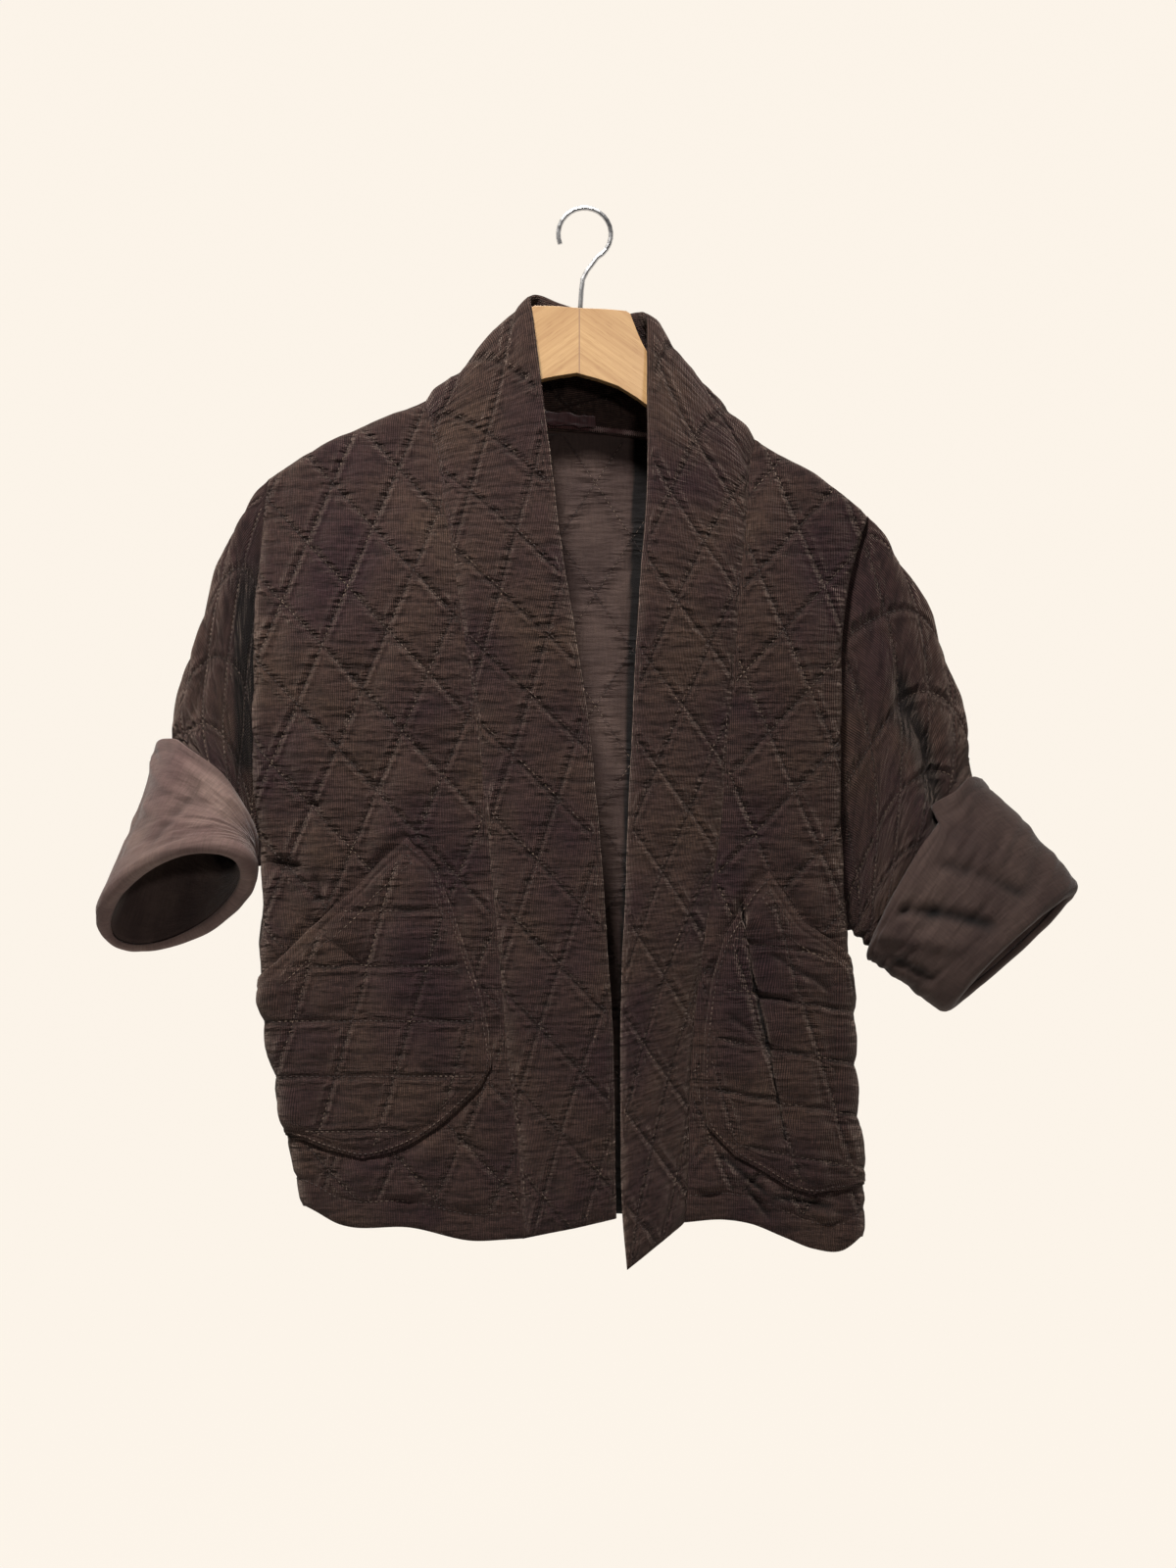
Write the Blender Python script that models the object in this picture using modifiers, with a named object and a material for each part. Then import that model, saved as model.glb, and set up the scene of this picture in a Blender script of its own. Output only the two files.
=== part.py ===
"""A quilted corduroy kimono jacket with turned-up cuffs, hanging on a wooden hanger.

Measures are in millimetres until the meshes are made. A place is given as x to the viewer's
right, y away from the viewer and "down" below the point where the hook hangs.
"""

import math
from collections import namedtuple

import bmesh
import bpy
import numpy as np
from mathutils.geometry import delaunay_2d_cdt

MM = 0.001

# The outlines were read in the plane of the hanger from this far in front of it.
EYE_DISTANCE = 1500
EYE_X = 1.5
EYE_DOWN = 433

# Cloth
HALF_WALL = 1.2
PUFF = 3.0
BAND_HALF = 2.2
BAND_PUFF = 2.0
SEAM_GAP = 0.3
SEAM_FADE = 16
LINE_MARGIN = 8
HEM_DEPTH = 20
RIDGE_ROUND = 10
DRAPE_LENGTH = 170
FOLD_RADIUS = 12
BACK_FOLD_RADIUS = 14
ARMHOLE_HALF = 13
POCKET_LIFT = 3.0
POCKET_HALF = 1.0
MOUTH_LIFT = 2.0
CUFF_HALF = 1.5
CUFF_PUFF = 1.6

# Where quilting fades and folds settle in
SIDE_PUFF_FADE = 34
POCKET_GAP, POCKET_FADE = 2, 10
MOUTH_REACH, TIP_REACH = 45, 30
SETTLE = 120
TIGHT_RADIUS, TIGHT_LENGTH = 5, 70
FULL_START = 60
HEM_PUFF = 0.5

LEFT, RIGHT = -1, 1

# The ridge is the line over the hanger where a front meets the back.
Ridge = namedtuple("Ridge", "out down")
RIDGE = {
    LEFT: [Ridge(0, 64), Ridge(44, 66), Ridge(69, 103), Ridge(95, 127), Ridge(119, 144),
           Ridge(146, 155), Ridge(169, 164), Ridge(191, 174), Ridge(213, 187), Ridge(239, 203)],
    RIGHT: [Ridge(0, 64), Ridge(44, 79), Ridge(64, 107), Ridge(87, 131), Ridge(109, 157),
            Ridge(125, 172), Ridge(149, 187), Ridge(172, 200), Ridge(190, 213), Ridge(212, 231)],
}

# The side is where each half of the body turns round to the back.
Side = namedtuple("Side", "down out")
SIDE = {
    LEFT: [Side(203, 239), Side(256, 245), Side(322, 249), Side(433, 248), Side(470, 245),
           Side(507, 242), Side(581, 243), Side(618, 236), Side(655, 229), Side(700, 223),
           Side(729, 217), Side(765, 211)],
    RIGHT: [Side(231, 212), Side(275, 198), Side(330, 192), Side(433, 191), Side(470, 191),
            Side(507, 193), Side(537, 195), Side(600, 197), Side(655, 198), Side(700, 201),
            Side(729, 206), Side(785, 209)],
}
ARMHOLE = {LEFT: (203, 492), RIGHT: (231, 540)}

# How far each front stands before the hanger, at the band seam, mid front and side.
Depth = namedtuple("Depth", "down seam middle side")
FRONT_DEPTH = {
    LEFT: [Depth(150, 34, 34, 24), Depth(260, 42, 42, 30), Depth(380, 45, 46, 34),
           Depth(520, 47, 47, 34), Depth(640, 49, 48, 34), Depth(780, 52, 50, 34)],
    RIGHT: [Depth(150, 34, 34, 24), Depth(260, 44, 42, 30), Depth(380, 48, 46, 34),
            Depth(520, 52, 47, 34), Depth(640, 56, 48, 34), Depth(780, 64, 50, 34)],
}
BACK_CENTRE, BACK_SIDE = 44, 32

# The hem line across each front, from the side to the band.
Hem = namedtuple("Hem", "out down")
HEM = {
    LEFT: [Hem(46, 776), Hem(61, 777), Hem(84, 778), Hem(132, 768), Hem(187, 765),
           Hem(212, 752), Hem(240, 750)],
    RIGHT: [Hem(74, 764), Hem(105, 762), Hem(124, 765), Hem(149, 775), Hem(172, 784),
            Hem(194, 785), Hem(209, 775), Hem(240, 772)],
}
BACK_HEM = [Hem(-240, 750), Hem(-211, 752), Hem(-100, 757), Hem(0, 757), Hem(100, 760),
            Hem(209, 775), Hem(240, 772)]

# The band lies between its seam (x, down) and its folded front edge (x, y, down).
Band = namedtuple("Band", "seam_x seam_down edge_x edge_y edge_down bulge")
BAND = [
    Band(-46, 776, 23, -54, 761, 2), Band(-50, 714, 22, -54, 707, 2), Band(-56, 665, 21.5, -54, 660, 2),
    Band(-61, 613, 20, -54, 612, 2), Band(-66, 552, 16, -53, 552, 2), Band(-73, 478, 11, -53, 478, 2),
    Band(-80, 404, 4, -51, 404, 2), Band(-90, 330, -6, -48, 330, 2), Band(-101, 256, -18, -44, 256, 2),
    Band(-110, 200, -26, -37, 190, 1), Band(-117, 162, -34, -28, 128, 0), Band(-118.5, 151, -40, -14, 80, -2),
    Band(-119, 144, -42, 0, 66, -4), Band(-103, 150, -35, 16, 64, -2), Band(-62, 163, -20, 21, 70, 0),
    Band(-2, 168, 0, 22, 76, 0), Band(62, 174, 22, 21, 80, 0), Band(106, 171, 38, 16, 77, -2),
    Band(125, 172, 45, 0, 79, -3), Band(124.5, 182, 46, -14, 97, -2), Band(123, 196, 46, -28, 140, 0),
    Band(121, 228, 46, -40, 206, 1), Band(115, 296, 40, -48, 290, 2), Band(111, 344, 37, -51, 344, 2),
    Band(105, 418, 33.5, -54, 418, 2), Band(101, 470, 31, -56, 472, 2), Band(95, 507, 30, -58, 512, 2),
    Band(89, 552, 27.5, -60, 560, 2), Band(83, 596, 26, -62, 610, 2), Band(78, 655, 26, -66, 676, 2),
    Band(77, 722, 27, -74, 750, 2), Band(74, 764, 31, -84, 800, 2),
]
BAND_RIDGE = {LEFT: 12, RIGHT: 18}
NECK_OUT = {LEFT: 119, RIGHT: 125}

# Large soft folds of the fronts: a ridge is positive, a valley negative.
Fold = namedtuple("Fold", "x0 down0 x1 down1 height width")
FOLDS = {
    LEFT: [Fold(-136, 240, -126, 600, 4, 22), Fold(-205, 300, -190, 560, 3, 20),
           Fold(-168, 330, -160, 620, -3, 18), Fold(-228, 520, -160, 575, -3, 9)],
    RIGHT: [Fold(118, 529, 134, 612, -9, 9), Fold(134, 612, 150, 701, -7, 9),
            Fold(118, 300, 126, 500, -4, 18), Fold(172, 280, 170, 560, 4, 20),
            Fold(160, 560, 176, 740, 4, 14)],
}

# Rings of a sleeve: its top and under points, and the reach of its front layer from its centre.
Ring = namedtuple("Ring", "top_x top_y top_down under_x under_y under_down reach_x reach_y reach_down")
SLEEVE = {
    LEFT: [
        Ring(-239, 0, 203, -242, 0, 492, 0, -13, 0), Ring(-262, 0, 240, -251, 0, 492, -1, -14, -2),
        Ring(-280, -1, 290, -257, -6, 492, -1, -18, -5), Ring(-296, -4, 340, -260, -14, 491, 0, -22, -12),
        Ring(-309, -7, 388, -261, -22, 490, 2, -25, -22), Ring(-316, -10, 425, -262, -30, 489, 3, -25, -28),
        Ring(-336, -10, 485, -262, -40, 490, -4, -26, -28),
        Ring(-358, -14, 544, -261, -52, 494, -12, -25, -28),
    ],
    RIGHT: [
        Ring(212, 0, 231, 195, 0, 540, 0, -13, 0), Ring(236, 0, 268, 202, 0, 543, 0, -15, 0),
        Ring(256, 0, 306, 207, -4, 546, 0, -19, -1), Ring(272, -2, 350, 211, -8, 549, 0, -23, -2),
        Ring(284, -4, 392, 216, -12, 553, -1, -26, -3), Ring(294, -8, 436, 223, -16, 558, -3, -26, -4),
        Ring(327, -10, 474, 246, -18, 574, -4, -26, -5), Ring(361, -12, 514, 274, -18, 594, -4, -25, -5),
    ],
}
REAR_SHARE = 0.85
CUFF_START = 4.6
CUFF_OFFSET = 10
SLEEVE_COLUMNS = 32
SLEEVE_ROWS = 16
CUFF_ROWS = 6


def slope_at(xs, ys, i):
    """The slope of a smooth curve through the points, at one of them."""
    if i == 0:
        return (ys[1] - ys[0]) / (xs[1] - xs[0])
    if i == len(xs) - 1:
        return (ys[-1] - ys[-2]) / (xs[-1] - xs[-2])
    before = (ys[i] - ys[i - 1]) / (xs[i] - xs[i - 1])
    after = (ys[i + 1] - ys[i]) / (xs[i + 1] - xs[i])
    share = (xs[i] - xs[i - 1]) / (xs[i + 1] - xs[i - 1])
    return before * (1 - share) + after * share


def through(xs, ys, x):
    """The height at x of a smooth curve through the points, straight beyond its ends."""
    if x <= xs[0]:
        return ys[0] + slope_at(xs, ys, 0) * (x - xs[0])
    if x >= xs[-1]:
        return ys[-1] + slope_at(xs, ys, len(xs) - 1) * (x - xs[-1])
    i = max(k for k in range(len(xs) - 1) if xs[k] <= x)
    width = xs[i + 1] - xs[i]
    u = (x - xs[i]) / width
    m0, m1 = slope_at(xs, ys, i) * width, slope_at(xs, ys, i + 1) * width
    return (
        ys[i] * (2 * u**3 - 3 * u**2 + 1) + m0 * (u**3 - 2 * u**2 + u)
        + ys[i + 1] * (3 * u**2 - 2 * u**3) + m1 * (u**3 - u**2)
    )


def column(rows, name):
    return [getattr(row, name) for row in rows]


def ease(u):
    """Rises fast and settles at one."""
    u = min(max(u, 0), 1)
    return 1 - (1 - u) ** 2.2


def step(u):
    """A soft step from nought to one."""
    u = min(max(u, 0), 1)
    return u * u * (3 - 2 * u)


def placed(x, y, down):
    """The real place of something seen at x and down, at depth y."""
    near = 1 + y / EYE_DISTANCE
    return np.array([EYE_X + (x - EYE_X) * near, y, -(EYE_DOWN + (down - EYE_DOWN) * near)])


def unit(v):
    return v / max(np.linalg.norm(v), 1e-9)


def ridge_down(side, out):
    return through(column(RIDGE[side], "out"), column(RIDGE[side], "down"), out)


def side_out(side, down):
    return through(column(SIDE[side], "down"), column(SIDE[side], "out"), down)


def lens(side, down):
    """Half the depth of the armhole at this height, nought outside it."""
    top, bottom = ARMHOLE[side]
    u = (down - top) / (bottom - top)
    if u <= 0 or u >= 1:
        return 0
    return ARMHOLE_HALF * math.sin(math.pi * u) ** 0.6


def over_ridge(below, full):
    """Depth of the cloth this far below the ridge: round over the top, then draping out."""
    below = max(below, 0)
    near = min(below, RIDGE_ROUND) / RIDGE_ROUND
    return RIDGE_ROUND * math.sqrt(1 - (1 - near) ** 2) + (full - RIDGE_ROUND) * ease(below / DRAPE_LENGTH)


def folds_at(side, x, down):
    """What the large folds add to the depth of a front."""
    total = 0
    for f in FOLDS[side]:
        length = math.hypot(f.x1 - f.x0, f.down1 - f.down0)
        ux, ud = (f.x1 - f.x0) / length, (f.down1 - f.down0) / length
        along = (x - f.x0) * ux + (down - f.down0) * ud
        across = (x - f.x0) * ud - (down - f.down0) * ux
        taper = step((along + f.width) / (3 * f.width)) * step((length + f.width - along) / (3 * f.width))
        total += f.height * taper * math.exp(-((across / f.width) ** 2) * 1.4)
    return total


def front_depth(side, out, down):
    """How far a front stands before the hanger."""
    rows = FRONT_DEPTH[side]
    downs = column(rows, "down")
    seam, middle, edge = (through(downs, column(rows, c), down) for c in ("seam", "middle", "side"))
    share = (out - FULL_START) / (side_out(side, down) - FULL_START)
    full = through([0, 0.5, 1], [seam, middle, edge], share)
    below = down - ridge_down(side, out)
    return over_ridge(below, full) + folds_at(side, side * out, down) * ease(below / SETTLE)


def back_depth(side, out, down):
    """How far the back stands behind the hanger."""
    share = out / side_out(side, down)
    full = BACK_CENTRE + (BACK_SIDE - BACK_CENTRE) * share**2
    return over_ridge(down - ridge_down(side, out), full)


def fold_radius(side, down, largest):
    """The side turns round more tightly near the shoulder."""
    return TIGHT_RADIUS + (largest - TIGHT_RADIUS) * step((down - ARMHOLE[side][0]) / TIGHT_LENGTH)


Turn = namedtuple("Turn", "start radius depth end")


def turn_at(side, down, rear):
    """Where the side's round turn starts at this height, and where the panel's edge lies."""
    depth_of = back_depth if rear else front_depth
    radius = fold_radius(side, down, BACK_FOLD_RADIUS if rear else FOLD_RADIUS)
    start = side_out(side, down) - radius
    depth = depth_of(side, start, down)
    rest = depth - radius - lens(side, down)
    return Turn(start, radius, depth, start + radius * math.pi / 2 + rest)


def side_fade(side, out, down, rear):
    """The puffs sink where the cloth turns round at the side."""
    return step((turn_at(side, down, rear).end - out) / SIDE_PUFF_FADE)


def turning(side, out, down, rear):
    """Whether the cloth turns round here."""
    if not ARMHOLE[side][0] < down < HEM[side][0].down:
        return False
    turn = turn_at(side, down, rear)
    return turn.start - 4 < out < turn.end


def on_body(side, out, down, rear):
    """A point of the body's cloth, in real millimetres, at a distance out along the cloth."""
    turn = turn_at(side, down, rear)
    if out <= turn.start:
        depth = back_depth(side, out, down) if rear else front_depth(side, out, down)
        x = out
    else:
        angle = min((out - turn.start) / turn.radius, math.pi / 2)
        x = turn.start + turn.radius * math.sin(angle)
        past = max(out - turn.start - turn.radius * math.pi / 2, 0)
        depth = turn.depth - turn.radius * (1 - math.cos(angle)) - past
    return placed(side * x, depth if rear else -depth, down)


def body_normal(side, out, down, rear):
    """The outward direction of the body's cloth."""
    h = 1.5
    below = max(h - (down - ridge_down(side, out)), 0)
    down = down + below
    across = on_body(side, out + h, down, rear) - on_body(side, out - h, down, rear)
    along = on_body(side, out, down + h, rear) - on_body(side, out, down - h, rear)
    n = unit(np.cross(across, along)) * side
    return n if rear else -n


def inside(point, polygon):
    """Whether a flat point lies in a polygon."""
    x, y = point
    result = False
    for (x0, y0), (x1, y1) in zip(polygon, polygon[1:] + polygon[:1]):
        if (y0 > y) != (y1 > y) and x < x0 + (y - y0) * (x1 - x0) / (y1 - y0):
            result = not result
    return result


def edge_distance(point, polygon):
    """How far a flat point lies from a polygon's outline."""
    p = np.array(point, float)
    a = np.array(polygon, float)
    b = np.roll(a, -1, axis=0)
    d = b - a
    t = np.clip(((p - a) * d).sum(1) / np.maximum((d * d).sum(1), 1e-9), 0, 1)
    return float(np.sqrt((((a + d * t[:, None]) - p) ** 2).sum(1)).min())


BEND_PARTS = 3


def refined(spots, bends):
    """The spots again, with more between two that lie where the cloth bends."""
    result = [spots[0]]
    for p, q in zip(spots, spots[1:]):
        count = BEND_PARTS if bends(p) or bends(q) else 1
        result += [p + (q - p) * k / count for k in range(1, count + 1)]
    return result


class Lattice:
    """The diamonds of the quilting: two families of lines along two vectors."""

    def __init__(self, origin, first, second, spacing=0.5):
        self.origin = np.array(origin, float)
        self.spacing = spacing
        self.basis = np.array([first, second], float).T
        self.back = np.linalg.inv(self.basis)

    def cell(self, point):
        return self.back @ (np.array(point, float) - self.origin)

    def point(self, i, j):
        return self.origin + self.basis @ np.array([i, j], float)

    def height(self, point):
        """The puff of the quilting here, from nought on a line to one in a diamond's middle."""
        i, j = self.cell(point)
        return (abs(math.sin(math.pi * i)) * abs(math.sin(math.pi * j))) ** 0.75

    def lines_in(self, region, holes, bends):
        """Points and edges of the quilting lines inside a region and outside the holes.

        Where the cloth bends, a line has more points.
        """
        corners = np.array([self.cell(p) for p in region])
        low, high = np.floor(corners.min(0)) - 1, np.ceil(corners.max(0)) + 1

        def allowed(p):
            if not inside(p, region) or edge_distance(p, region) < LINE_MARGIN:
                return False
            return all(not inside(p, h) and edge_distance(p, h) > LINE_MARGIN for h in holes)

        points, index, edges = [], {}, []

        def add(p):
            key = (round(p[0], 2), round(p[1], 2))
            if key not in index:
                index[key] = len(points)
                points.append((float(p[0]), float(p[1])))
            return index[key]

        for family in (0, 1):
            other = 1 - family
            for fixed in range(int(low[other]), int(high[other]) + 1):
                run = np.arange(low[family], high[family] + 1, self.spacing)
                spots = [self.point(r, fixed) if family == 0 else self.point(fixed, r) for r in run]
                spots = refined(spots, bends)
                for p, q in zip(spots, spots[1:]):
                    p_in, q_in = allowed(p), allowed(q)
                    if p_in and q_in:
                        edges.append((add(p), add(q)))
                    elif p_in != q_in:
                        good, bad = (p, q) if p_in else (q, p)
                        for _ in range(12):
                            middle = (good + bad) / 2
                            good, bad = (middle, bad) if allowed(middle) else (good, middle)
                        start = p if p_in else q
                        if np.linalg.norm(good - start) > 5:
                            edges.append((add(start), add(good)))
        for i in np.arange(low[0], high[0] + 1):
            for j in np.arange(low[1], high[1] + 1):
                p = self.point(i + 0.5, j + 0.5)
                if allowed(p):
                    add(p)
        return points, edges


def triangulated(outline, points, edges, loops=()):
    """Triangles over an outline that keep the given lines and closed loops as edges."""
    verts = [tuple(p) for p in outline]
    lines = [(i, (i + 1) % len(outline)) for i in range(len(outline))]
    for loop in loops:
        start = len(verts)
        verts += [tuple(p) for p in loop]
        lines += [(start + i, start + (i + 1) % len(loop)) for i in range(len(loop))]
    start = len(verts)
    verts += [tuple(p) for p in points]
    lines += [(start + a, start + b) for a, b in edges]
    out_verts, _, faces, origin, _, _ = delaunay_2d_cdt(verts, lines, [], 0, 0.01)
    flat = [(float(v[0]), float(v[1])) for v in out_verts]
    kept = []
    for face in faces:
        centre = np.mean([flat[i] for i in face], axis=0)
        if inside(centre, list(outline)):
            kept.append(tuple(face))
    rim = {}
    for i, ids in enumerate(origin):
        for k in ids:
            if k < len(outline):
                rim[i] = k
    return flat, kept, rim


def material(name, colour, roughness, metallic=0.0):
    m = bpy.data.materials.new(name)
    m.use_nodes = True
    shader = m.node_tree.nodes["Principled BSDF"]
    shader.inputs["Base Color"].default_value = (*colour, 1)
    shader.inputs["Roughness"].default_value = roughness
    shader.inputs["Metallic"].default_value = metallic
    return m


def add_object(name, mesh, look):
    made = bpy.data.objects.new(name, mesh)
    PARTS.objects.link(made)
    mesh.materials.append(look)
    return made


def wall(name, middles, normals, outer, inner, faces, look):
    """A closed wall about a middle surface, with its own reach outward and inward at each point."""
    middles, normals = np.array(middles), np.array(normals)
    outer, inner = np.array(outer)[:, None], np.array(inner)[:, None]
    points = np.vstack([middles + normals * outer, middles - normals * inner])
    n = len(middles)
    count = {}
    for face in faces:
        for a, b in zip(face, face[1:] + face[:1]):
            count[(a, b)] = 1
    sides = [(b, a, a + n, b + n) for a, b in count if (b, a) not in count]
    all_faces = list(faces) + [tuple(i + n for i in reversed(f)) for f in faces] + sides
    mesh = bpy.data.meshes.new(name)
    mesh.from_pydata([tuple(p * MM) for p in points], [], all_faces)
    bm = bmesh.new()
    bm.from_mesh(mesh)
    bmesh.ops.triangulate(bm, faces=bm.faces)
    bmesh.ops.recalc_face_normals(bm, faces=bm.faces)
    bm.to_mesh(mesh)
    bm.free()
    mesh.shade_smooth()
    return add_object(name, mesh, look)


# Seams. Each gives a point, the direction of the walls' thickness there, and the way from the
# seam into the body panel.
Seam = namedtuple("Seam", "point normal pull")


def ridge_seam(side, out, rear):
    def spot(o):
        return placed(side * o, 0, ridge_down(side, o))

    along = spot(out + 1) - spot(out - 1)
    up = unit(np.array([-along[2], 0, along[0]]) * side)
    return Seam(spot(out), up, np.array([0, 1 if rear else -1, 0]))


def armhole_seam(side, down, rear):
    """The front or rear half of the armhole, whose walls meet in a right-angled valley."""
    way = 1 if rear else -1
    top, bottom = ARMHOLE[side]

    def spot(d):
        return placed(side * side_out(side, d), way * lens(side, d), d)

    low, high = max(down - 1, top), min(down + 1, bottom)
    along = spot(high) - spot(low)
    across = unit(np.array([0, -along[2], along[1]])) * way
    if down - top < 0.5:
        across = np.array([0, 0, 1])
    if bottom - down < 0.5:
        across = np.array([0, 0, -1])
    return Seam(spot(down), np.array([side, 0, 0]) + across, across)


def armhole_down(side, angle):
    """How far down the armhole a sleeve's ring angle lies, nought at its top."""
    top, bottom = ARMHOLE[side]
    return (top + bottom) / 2 - (bottom - top) / 2 * math.cos(angle)


def side_seam(side, down, rear):
    point = placed(side * side_out(side, down), 0, down)
    return Seam(point, np.array([side, 0, 0]), np.array([0, 1 if rear else -1, 0]))


def seam_spot(c):
    """Where the band's seam runs: x and down at this place along the band."""
    places = range(len(BAND))
    return through(places, column(BAND, "seam_x"), c), through(places, column(BAND, "seam_down"), c)


def on_seam(c):
    x, down = seam_spot(c)
    side = LEFT if x < 0 else RIGHT
    if abs(c - BAND_RIDGE[side]) < 0.01:
        return placed(x, 0, down)
    rear = BAND_RIDGE[LEFT] < c < BAND_RIDGE[RIGHT]
    return on_body(side, abs(x), down, rear)


def band_seam(c, into_body=1):
    """The seam of the band with a front or the back."""
    x, down = seam_spot(c)
    side = LEFT if x < 0 else RIGHT
    rear = BAND_RIDGE[LEFT] < c < BAND_RIDGE[RIGHT]
    normal = body_normal(side, abs(x), down, rear)
    for ridge in BAND_RIDGE.values():
        share = step(abs(c - ridge))
        up = unit(np.array([0.45 * (1 if ridge > BAND_RIDGE[LEFT] else -1), 0, 1]))
        normal = unit(normal * share + up * (1 - share))
    last = len(BAND) - 1
    along = on_seam(min(c + 0.1, last)) - on_seam(max(c - 0.1, 0))
    pull = unit(np.cross(normal, along))
    return Seam(on_seam(c), normal, pull * into_body)


def evenly(low, high, size):
    """Steps from low to high of about one size, both ends included."""
    count = max(1, round(abs(high - low) / size))
    return [low + (high - low) * i / count for i in range(count + 1)]


BAND_STEP = 0.5
EDGE_STEP = 14
SIDE_STEP = 22


def seam_places(low, high):
    return evenly(low, high, BAND_STEP)


def hem_down(side, out):
    return through(column(HEM[side], "out"), column(HEM[side], "down"), min(out, 240))


def back_hem_down(x):
    return through(column(BACK_HEM, "out"), column(BACK_HEM, "down"), max(min(x, 240), -240))


Rim = namedtuple("Rim", "flat point normal")


def pulled(flat, seam):
    return Rim(flat, seam.point + seam.pull * SEAM_GAP, seam.normal)


def side_rim(side, rear, hem_end):
    """The rim of a body panel from the shoulder's end down the armhole and the side seam."""
    top, bottom = ARMHOLE[side]
    rim = []
    for k in range(SLEEVE_COLUMNS // 2 + 1):
        down = armhole_down(side, 2 * math.pi * k / SLEEVE_COLUMNS)
        rim.append(pulled((turn_at(side, down, rear).end, down), armhole_seam(side, down, rear)))
    for down in evenly(bottom, hem_end, SIDE_STEP)[1:]:
        rim.append(pulled((turn_at(side, down, rear).end, down), side_seam(side, down, rear)))
    return rim


def ridge_rim(side, rear, neck):
    """The rim along the ridge, from the neck to just before the shoulder's end."""
    end = RIDGE[side][-1].out
    return [
        pulled((out, ridge_down(side, out)), ridge_seam(side, out, rear))
        for out in evenly(neck, end, EDGE_STEP)[1:-1]
    ]


def fold_points(side, rear, hem_at):
    """Extra points where the cloth turns round at the side."""
    points = []
    for down in evenly(ARMHOLE[side][0] + 8, hem_at - HEM_DEPTH - 10, SIDE_STEP):
        turn = turn_at(side, down, rear)
        for share in (-0.1, 0.3, 0.65, 1.0):
            points.append((turn.start + share * turn.radius * math.pi / 2, down))
    return points


RIDGE_LINE = 3.5
CLEAR_OF_LINES = 7.5


def ridge_line(side, rear, neck):
    """A line just below the ridge, so that the cloth turns round over the hanger."""
    end = RIDGE[side][-1].out
    return [(out, ridge_down(side, out) + RIDGE_LINE) for out in evenly(neck + 8, end - 4, EDGE_STEP)]


def near_any(p, others, reach):
    return any(abs(p[0] - q[0]) < reach and abs(p[1] - q[1]) < reach for q in others)


Region = namedtuple("Region", "outline lattice holes loop")
Panel = namedtuple("Panel", "flat faces middles normals rim_ids outline")


def off_edges(p, points, edges, reach):
    """Whether a point keeps this far from all the edges."""
    a = np.array([points[i] for i, _ in edges])
    b = np.array([points[j] for _, j in edges])
    d = b - a
    t = np.clip(((np.array(p) - a) * d).sum(1) / np.maximum((d * d).sum(1), 1e-9), 0, 1)
    return ((a + d * t[:, None] - np.array(p)) ** 2).sum(1).min() > reach**2


def body_panel(rim, regions, runs, extra, place, normal_at, bends):
    """A body panel's flat points and triangles, with their places and thickness directions."""
    outline = [r.flat for r in rim]
    points, edges, loops = [], [], []
    for region in regions:
        more, lines = region.lattice.lines_in(region.outline, region.holes, bends)
        edges += [(a + len(points), b + len(points)) for a, b in lines]
        points += more
        if region.loop:
            loops.append(region.loop)
    for run in runs:
        edges += [(len(points) + i, len(points) + i + 1) for i in range(len(run) - 1)]
        points += run
    ring = [p for loop in loops for p in loop]
    for p in extra:
        free = inside(p, outline) and edge_distance(p, outline) > 5
        if free and not near_any(p, points + ring, CLEAR_OF_LINES) and off_edges(p, points, edges, 4):
            points.append(p)
    flat, faces, rim_ids = triangulated(outline, points, edges, loops)
    middles, normals = [], []
    for i, p in enumerate(flat):
        if i in rim_ids:
            middles.append(rim[rim_ids[i]].point)
            normals.append(rim[rim_ids[i]].normal)
        else:
            middles.append(place(p))
            normals.append(normal_at(p))
    return Panel(flat, faces, middles, normals, rim_ids, outline)


# Quilting: in a front, out along the cloth and down; on the back, x along the cloth and down.
FRONT_LATTICE = Lattice((190.9, 206.7), (-30.3, 32.6), (19.2, 44.4))
BACK_LATTICE = Lattice((7, 206), (-28, 42), (28, 42), 1.0)
POCKET_LATTICE = {
    LEFT: Lattice((120, 570), (44, 0), (12, 41.5)),
    RIGHT: Lattice((120, 590), (43, 8), (12, 41)),
}

# A pocket's outline, from its upper tip down the curved inner edge and along the bottom.
Corner = namedtuple("Corner", "out down")
POCKET = {
    LEFT: [Corner(135, 474), Corner(114, 495), Corner(101, 528), Corner(90, 560), Corner(80, 590),
           Corner(73, 620), Corner(71, 645), Corner(80, 662), Corner(96, 678), Corner(112, 692),
           Corner(129, 703), Corner(148, 711), Corner(168, 715), Corner(192, 709), Corner(218, 700)],
    RIGHT: [Corner(138, 499), Corner(121, 517), Corner(105, 546), Corner(95, 580), Corner(89, 620),
            Corner(87, 660), Corner(91, 692), Corner(111, 713), Corner(131, 724), Corner(152, 737),
            Corner(170, 742), Corner(196, 739)],
}
MOUTH = {
    LEFT: [Corner(160, 498), Corner(187, 523), Corner(214, 549), Corner(240, 574)],
    RIGHT: [Corner(150, 517), Corner(164, 537), Corner(187, 553)],
}
POCKET_SIDE = {LEFT: (694, 596), RIGHT: (732, 590)}
POCKET_INSET = 2.5


def pocket_outline(side):
    low, high = POCKET_SIDE[side]
    edge = [(turn_at(side, down, False).end - POCKET_INSET, down) for down in evenly(low, high, SIDE_STEP)]
    return [tuple(c) for c in POCKET[side]] + edge + [tuple(c) for c in reversed(MOUTH[side])]


def hem_height(rise):
    """The puff of the turned hem, between its edge and its stitch line."""
    return HEM_PUFF * math.sin(math.pi * min(max(rise / HEM_DEPTH, 0), 1))


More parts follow.
